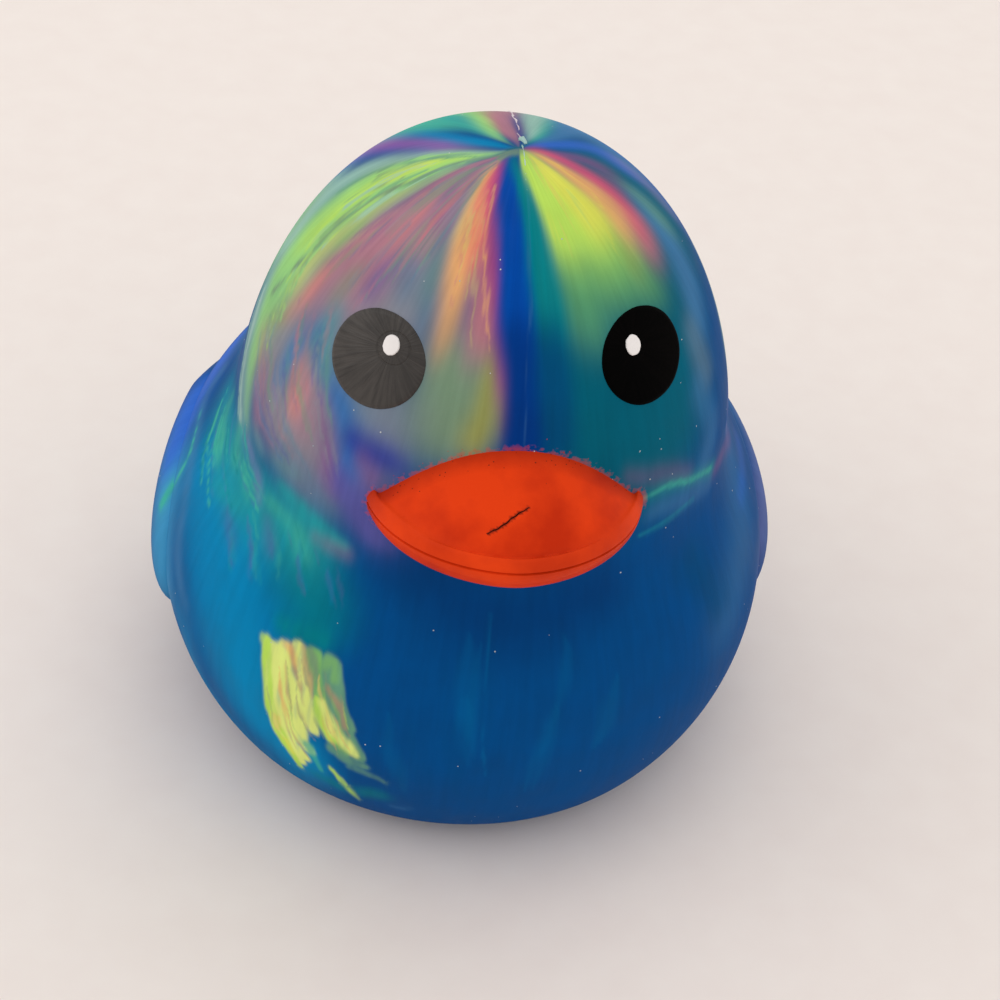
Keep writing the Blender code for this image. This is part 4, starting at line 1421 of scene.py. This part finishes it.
def beakPaint():
    look = beakLook
    material, tree, shader = newMaterial("beakPaint", look["roughness"][0])
    grain = used(tree, mattGrain, (-1100, -200), Scale=look["grainScale"], Depth=look["grainDepth"])
    tone = ranged(tree, (-850, 100), grain.outputs["Mottle"], 0.35, 0.65, 0.0, 1.0)
    colour = mixed(tree, (-650, 200), tone, look["dull"], look["bright"])
    rim = node(tree, "ShaderNodeAttribute", (-1100, 400), attribute_name="rim").outputs["Fac"]
    # the upper bill's rim is lightened a little: a painted highlight on its rounded edge
    colour = mixed(tree, (-450, 250), ranged(tree, (-700, 450), rim, 0.0, 1.0, 0.0, 0.2), colour, look["rim"])
    # painted shade: the beak darkens within 2.2 mm of the head's skin, where it meets the head
    foot = node(tree, "ShaderNodeAttribute", (-1100, 600), attribute_name="skinGap").outputs["Fac"]
    shade = ranged(tree, (-700, 650), foot, 0.0, 0.0022, 0.55, 0.0)
    colour = mixed(tree, (-250, 300), shade, colour, look["shade"])
    # painted shade in the crack's groove and just round it
    crack = node(tree, "ShaderNodeAttribute", (-1100, 800), attribute_name="crack").outputs["Fac"]
    colour = mixed(tree, (-50, 350), crack, colour, look["crack"])
    tree.links.new(colour, shader.inputs["Base Color"])
    tree.links.new(ranged(tree, (-450, -100), grain.outputs["Mottle"], 0.3, 0.7, *look["roughness"]),
                   shader.inputs["Roughness"])
    tree.links.new(grain.outputs["Normal"], shader.inputs["Normal"])
    setSpecular(shader, look["specular"])
    return material


def eyePaint(hand):
    # black paint, wrinkled along lines that run out from the glint; the lighter tone on the wrinkles is painted
    # sheen
    look = eyeLook[hand]
    material, tree, shader = newMaterial(f"eyePaint{hand}", look["roughness"])
    disc = node(tree, "ShaderNodeUVMap", (-1400, 200), uv_map="disc").outputs[0]
    centre = glintCentre[hand]
    moved = node(tree, "ShaderNodeVectorMath", (-1200, 200), operation="SUBTRACT")
    moved.inputs[1].default_value = (centre[0], centre[1], 0.0)
    tree.links.new(disc, moved.inputs[0])
    heading = node(tree, "ShaderNodeVectorMath", (-1000, 300), operation="NORMALIZE")
    reach = node(tree, "ShaderNodeVectorMath", (-1000, 100), operation="LENGTH")
    for other in (heading, reach):
        tree.links.new(moved.outputs[0], other.inputs[0])
    spread = node(tree, "ShaderNodeVectorMath", (-800, 300), operation="SCALE")
    spread.inputs["Scale"].default_value = 9.0
    tree.links.new(heading.outputs[0], spread.inputs[0])
    run = node(tree, "ShaderNodeCombineXYZ", (-800, 100))
    tree.links.new(reach.outputs["Value"], run.inputs[2])
    place = node(tree, "ShaderNodeVectorMath", (-600, 200), operation="ADD")
    tree.links.new(spread.outputs[0], place.inputs[0])
    tree.links.new(run.outputs[0], place.inputs[1])
    wrinkles = node(tree, "ShaderNodeTexNoise", (-400, 200))
    wrinkles.inputs["Scale"].default_value = 1.6
    wrinkles.inputs["Detail"].default_value = 5.0
    tree.links.new(place.outputs[0], wrinkles.inputs["Vector"])
    grain = used(tree, mattGrain, (-900, -300), Scale=2200.0, Depth=0.00002)
    tone = node(tree, "ShaderNodeMath", (-200, 0), operation="MULTIPLY")
    tree.links.new(wrinkles.outputs[0], tone.inputs[0])
    tree.links.new(grain.outputs["Mottle"], tone.inputs[1])
    tree.links.new(mixed(tree, (0, 200), ranged(tree, (-150, 300), tone.outputs[0], 0.14, 0.36, 0.0, 1.0),
                         look["dark"], look["light"]), shader.inputs["Base Color"])
    outward = ranged(tree, (-400, -100), reach.outputs["Value"], look["ring"] - 0.03, look["ring"], 0.0, 1.0)
    inward = ranged(tree, (-400, -300), reach.outputs["Value"], look["ring"], look["ring"] + 0.03, 1.0, 0.0)
    ring = node(tree, "ShaderNodeMath", (-250, -150), operation="MULTIPLY")
    tree.links.new(outward, ring.inputs[0])
    tree.links.new(inward, ring.inputs[1])
    relief = node(tree, "ShaderNodeMath", (-150, -100), operation="ADD")
    tree.links.new(ring.outputs[0], relief.inputs[0])
    tree.links.new(wrinkles.outputs[0], relief.inputs[1])
    bump = node(tree, "ShaderNodeBump", (0, -200))
    bump.inputs["Distance"].default_value = look["wrinkle"]
    tree.links.new(relief.outputs[0], bump.inputs["Height"])
    tree.links.new(grain.outputs["Normal"], bump.inputs["Normal"])
    tree.links.new(bump.outputs[0], shader.inputs["Normal"])
    setSpecular(shader, look["specular"])
    return material


def speckled(name, dark, light, roughness, specular, scale=900.0, depth=0.00002):
    # a surface of two near shades with a fine grain
    material, tree, shader = newMaterial(name, roughness)
    grain = used(tree, mattGrain, (-700, 0), Scale=scale, Depth=depth)
    tone = ranged(tree, (-450, 100), grain.outputs["Mottle"], 0.3, 0.7, 0.0, 1.0)
    tree.links.new(mixed(tree, (-250, 200), tone, dark, light), shader.inputs["Base Color"])
    tree.links.new(grain.outputs["Normal"], shader.inputs["Normal"])
    setSpecular(shader, specular)
    return material


marbled = marbledRubber()
beakMaterial = beakPaint()
duckSkin.data.materials.clear()
duckSkin.data.materials.append(marbled)
beak.data.materials.clear()
beak.data.materials.append(beakMaterial)
for hand in eyes:
    eyes[hand].data.materials.append(eyePaint(hand))
    glints[hand].data.materials.append(
        speckled(f"glintPaint{hand}", srgb(222, 218, 217), srgb(244, 241, 240), 0.55, 0.3))
print("materials made")


# Small pieces made with geometry nodes: the pinched crown, dust, overspray and grit

def newGeometryTree(name, inputs):
    tree = bpy.data.node_groups.new(name, "GeometryNodeTree")
    tree.interface.new_socket(name="Geometry", in_out="INPUT", socket_type="NodeSocketGeometry")
    for label, kind in inputs:
        tree.interface.new_socket(name=label, in_out="INPUT", socket_type=kind)
    tree.interface.new_socket(name="Geometry", in_out="OUTPUT", socket_type="NodeSocketGeometry")
    return tree, node(tree, "NodeGroupInput", (-900, 0)), node(tree, "NodeGroupOutput", (900, 0))


def finishTree(tree, geometry, end, material):
    real = node(tree, "GeometryNodeRealizeInstances", (500, 0))
    colour = node(tree, "GeometryNodeSetMaterial", (700, 0))
    colour.inputs["Material"].default_value = material
    tree.links.new(geometry, real.inputs[0])
    tree.links.new(real.outputs[0], colour.inputs["Geometry"])
    tree.links.new(colour.outputs[0], end.inputs[0])


def grown(piece, tree, material, **values):
    # runs a tree on a piece, keeps the result as a plain mesh, and drops the modifier
    modifier = piece.modifiers.new("grow", "NODES")
    modifier.node_group = tree
    for item in tree.interface.items_tree:
        if item.in_out == "INPUT" and item.name in values:
            modifier[item.identifier] = values[item.name]
    graph = bpy.context.evaluated_depsgraph_get()
    mesh = bpy.data.meshes.new_from_object(piece.evaluated_get(graph))
    piece.modifiers.clear()
    piece.data = mesh
    mesh.materials.clear()
    mesh.materials.append(material)
    mesh.shade_smooth()
    return piece


def scatterTree(name, field, material):
    tree, start, end = newGeometryTree(name, (
        ("Density", "NodeSocketFloat"), ("Smallest", "NodeSocketFloat"), ("Largest", "NodeSocketFloat"),
        ("Lift", "NodeSocketFloat"), ("Seed", "NodeSocketInt")))
    amount = node(tree, "GeometryNodeInputNamedAttribute", (-900, 300), data_type="FLOAT")
    amount.inputs[0].default_value = field
    density = node(tree, "ShaderNodeMath", (-650, 250), operation="MULTIPLY")
    spots = node(tree, "GeometryNodeDistributePointsOnFaces", (-400, 100))
    grain = node(tree, "GeometryNodeMeshIcoSphere", (-400, -300))
    grain.inputs["Radius"].default_value = 1.0
    grain.inputs["Subdivisions"].default_value = 2
    size = node(tree, "FunctionNodeRandomValue", (-400, -100), data_type="FLOAT")
    flat = node(tree, "ShaderNodeCombineXYZ", (0, -150))
    thin = node(tree, "ShaderNodeMath", (-200, -250), operation="MULTIPLY")
    placed = node(tree, "GeometryNodeInstanceOnPoints", (250, 0))
    link = tree.links.new
    link(amount.outputs[0], density.inputs[0])
    link(start.outputs["Density"], density.inputs[1])
    link(start.outputs["Geometry"], spots.inputs["Mesh"])
    link(density.outputs[0], spots.inputs["Density"])
    link(start.outputs["Seed"], spots.inputs["Seed"])
    link(start.outputs["Smallest"], size.inputs[2])
    link(start.outputs["Largest"], size.inputs[3])
    link(start.outputs["Seed"], size.inputs["Seed"])
    link(size.outputs[1], thin.inputs[0])
    link(start.outputs["Lift"], thin.inputs[1])
    link(size.outputs[1], flat.inputs[0])
    link(size.outputs[1], flat.inputs[1])
    link(thin.outputs[0], flat.inputs[2])
    link(spots.outputs["Points"], placed.inputs["Points"])
    link(grain.outputs["Mesh"], placed.inputs["Instance"])
    link(spots.outputs["Rotation"], placed.inputs["Rotation"])
    link(flat.outputs[0], placed.inputs["Scale"])
    finishTree(tree, placed.outputs[0], end, material)
    return tree


def scattered(name, carrier, field, shape, material, seed):
    piece = bpy.data.objects.new(name, carrier.data.copy())
    bpy.context.scene.collection.objects.link(piece)
    tree = scatterTree(name, field, material)
    return grown(piece, tree, material, Density=shape["density"], Smallest=shape["size"][0],
                 Largest=shape["size"][1], Lift=shape["lift"], Seed=seed)


def ridgeTree(material):
    # a ragged bead of rubber along a line of points
    tree, start, end = newGeometryTree("flashBead", (
        ("Radius", "NodeSocketFloat"), ("Raggedness", "NodeSocketFloat"), ("Spacing", "NodeSocketFloat"),
        ("Scale", "NodeSocketFloat")))
    line = node(tree, "GeometryNodeMeshToCurve", (-700, 100))
    even = node(tree, "GeometryNodeResampleCurve", (-500, 100), mode="LENGTH")
    circle = node(tree, "GeometryNodeCurvePrimitiveCircle", (-500, -200))
    circle.inputs["Resolution"].default_value = 12
    circle.inputs["Radius"].default_value = 1.0
    lumps = node(tree, "ShaderNodeTexNoise", (-700, -350))
    swell = node(tree, "ShaderNodeMapRange", (-450, -400))
    swell.inputs["From Min"].default_value = 0.3
    swell.inputs["From Max"].default_value = 0.7
    swell.inputs["To Min"].default_value = 0.25
    swell.inputs["To Max"].default_value = 1.5
    width = node(tree, "ShaderNodeMath", (-250, -300), operation="MULTIPLY")
    taper = node(tree, "GeometryNodeInputNamedAttribute", (-700, -600), data_type="FLOAT")
    taper.inputs[0].default_value = "swell"
    tapered = node(tree, "ShaderNodeMath", (-100, -400), operation="MULTIPLY")
    tube = node(tree, "GeometryNodeCurveToMesh", (50, 100))
    tube.inputs["Fill Caps"].default_value = True
    rough = node(tree, "ShaderNodeTexNoise", (-250, -700))
    centred = node(tree, "ShaderNodeVectorMath", (0, -600), operation="SUBTRACT")
    centred.inputs[1].default_value = (0.5, 0.5, 0.5)
    scaled = node(tree, "ShaderNodeVectorMath", (150, -500), operation="SCALE")
    moved = node(tree, "GeometryNodeSetPosition", (300, 100))
    link = tree.links.new
    link(start.outputs["Geometry"], line.inputs[0])
    link(line.outputs[0], even.inputs["Curve"])
    link(start.outputs["Spacing"], even.inputs["Length"])
    link(start.outputs["Scale"], lumps.inputs["Scale"])
    link(start.outputs["Scale"], rough.inputs["Scale"])
    link(lumps.outputs[0], swell.inputs[0])
    link(swell.outputs[0], width.inputs[0])
    link(start.outputs["Radius"], width.inputs[1])
    link(width.outputs[0], tapered.inputs[0])
    link(taper.outputs[0], tapered.inputs[1])
    link(even.outputs[0], tube.inputs["Curve"])
    link(circle.outputs[0], tube.inputs["Profile Curve"])
    link(tapered.outputs[0], tube.inputs["Scale"])
    link(rough.outputs["Color"], centred.inputs[0])
    link(centred.outputs[0], scaled.inputs[0])
    link(start.outputs["Raggedness"], scaled.inputs["Scale"])
    link(tube.outputs[0], moved.inputs["Geometry"])
    link(scaled.outputs[0], moved.inputs["Offset"])
    finishTree(tree, moved.outputs[0], end, material)
    return tree


# name: radius, raggedness, sink, path of (x, y, swell) in the photograph's pixels
beads = {
    "flashUpper": (0.00014, 0.00024, 0.00002, [(508, 106, 0.5), (509, 110, 0.9), (512, 113, 0.8), (513, 117, 1.1),
                                               (516, 120, 1.0), (517, 124, 0.7), (519, 128, 0.9), (519, 131, 0.3)]),
    "flashLower": (0.00012, 0.00018, 0.00002, [(517, 133, 0.4), (519, 135, 1.0), (521, 138, 1.2)]),
    "crownNub": (0.00052, 0.00040, 0.00008, [(519.5, 138, 0.5), (521, 139, 1.0), (523, 140, 1.2),
                                             (525, 142, 0.9), (526, 144, 0.4)]),
    "partingUpper": (0.00009, 0.00006, 0.00003, [(522, 145, 1.0), (524, 152, 0.9), (525, 162, 0.9), (526, 180, 0.6),
                                                 (527, 190, 0.3)]),
}


def makeBead(name, material, tree):
    radius, ragged, sink, path = beads[name]
    knots = np.array(path, dtype=float)
    points = castFromPhoto(knots[:, :2])
    points = points - slopeOf(skinField, points) * sink
    mesh = bpy.data.meshes.new(name)
    mesh.from_pydata([tuple(point) for point in points], [(i, i + 1) for i in range(len(points) - 1)], [])
    piece = bpy.data.objects.new(name, mesh)
    bpy.context.scene.collection.objects.link(piece)
    addField(piece, "swell", knots[:, 2])
    return grown(piece, tree, material, Radius=radius, Raggedness=ragged, Spacing=radius * 0.6, Scale=1400.0)


flashRubber = speckled("flashRubber", srgb(196, 176, 190), srgb(226, 220, 222), 0.6, 0.15)
nubRubber = speckled("nubRubber", srgb(150, 188, 182), srgb(206, 216, 212), 0.6, 0.15)
beadTree = ridgeTree(flashRubber)
crownPieces = [makeBead(name, nubRubber if name in ("crownNub", "partingUpper") else flashRubber, beadTree)
               for name in beads]
dustLook = speckled("paleDust", srgb(150, 165, 175), srgb(205, 205, 205), 0.9, 0.1)
gritLook = speckled("darkGrit", srgb(60, 22, 14), srgb(110, 40, 22), 0.9, 0.1)
dust = scattered("dustSpecks", duckSkin, "dust", dustShape, dustLook, 3)
overspray = scattered("oversprayDots", duckSkin, "overspray", oversprayShape, beakMaterial, 5)
places = meshPlaces(beak)
upperEdge = np.exp(-((skinField(places) / 0.0016) ** 2)) * (places[:, 2] > beakCentre[2] + 0.0015)
addField(beak, "grit", upperEdge)
grit = scattered("beakGrit", beak, "grit", gritShape, gritLook, 8)
print("small pieces made:", [len(piece.data.polygons) for piece in (*crownPieces, dust, overspray, grit)])


# Floor, lamps and world

stageShape = {
    "floorSize": 3.0,
    "floorColours": (srgb(236, 228, 223), srgb(238, 231, 226)),
    "worldColour": srgb(255, 251, 248),
    "worldStrength": 0.93,
}


def makeStage():
    bm = bmesh.new()
    bmesh.ops.create_grid(bm, x_segments=4, y_segments=4, size=stageShape["floorSize"] / 2)
    mesh = bpy.data.meshes.new("studioFloor")
    bm.to_mesh(mesh)
    bm.free()
    floor = bpy.data.objects.new("studioFloor", mesh)
    bpy.context.scene.collection.objects.link(floor)
    mesh.materials.append(speckled("studioPaper", *stageShape["floorColours"], 0.9, 0.1, 60.0, 0.00005))
    world = bpy.data.worlds.new("studio")
    bpy.context.scene.world = world
    world.use_nodes = True
    background = world.node_tree.nodes["Background"]
    background.inputs["Color"].default_value = stageShape["worldColour"]
    background.inputs["Strength"].default_value = stageShape["worldStrength"]


def makeLamp(name, place, aim, size, power):
    data = bpy.data.lights.new(name, "AREA")
    data.shape = "DISK"
    data.size = size
    data.energy = power
    lamp = bpy.data.objects.new(name, data)
    lamp.location = place
    lamp.rotation_euler = (Vector(aim) - Vector(place)).to_track_quat("-Z", "Y").to_euler()
    bpy.context.scene.collection.objects.link(lamp)
    return lamp


makeStage()
makeLamp("softboxAbove", (0.25, 0.35, 0.9), (0.0, 0.0, 0.04), 0.7, 0.7)
makeLamp("softboxLeft", (-0.7, -0.1, 0.6), (0.0, 0.0, 0.04), 0.6, 0.9)
bpy.context.scene.view_settings.view_transform = "Standard"
print("stage lit")


# Riding: every piece rides on the root, and the imported body is hidden

for piece, slot in ((duckSkin, "marbled_rubber"), (beak, "beak_paint"),
                    (eyes["Right"], "eye_paint"), (eyes["Left"], "eye_paint"),
                    (glints["Right"], "glint_paint"), (glints["Left"], "glint_paint"),
                    *((piece, "marbled_rubber") for piece in (*crownPieces, dust)),
                    (overspray, "beak_paint"), (grit, "beak_paint")):
    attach(piece, "root")
    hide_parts("duck_body")
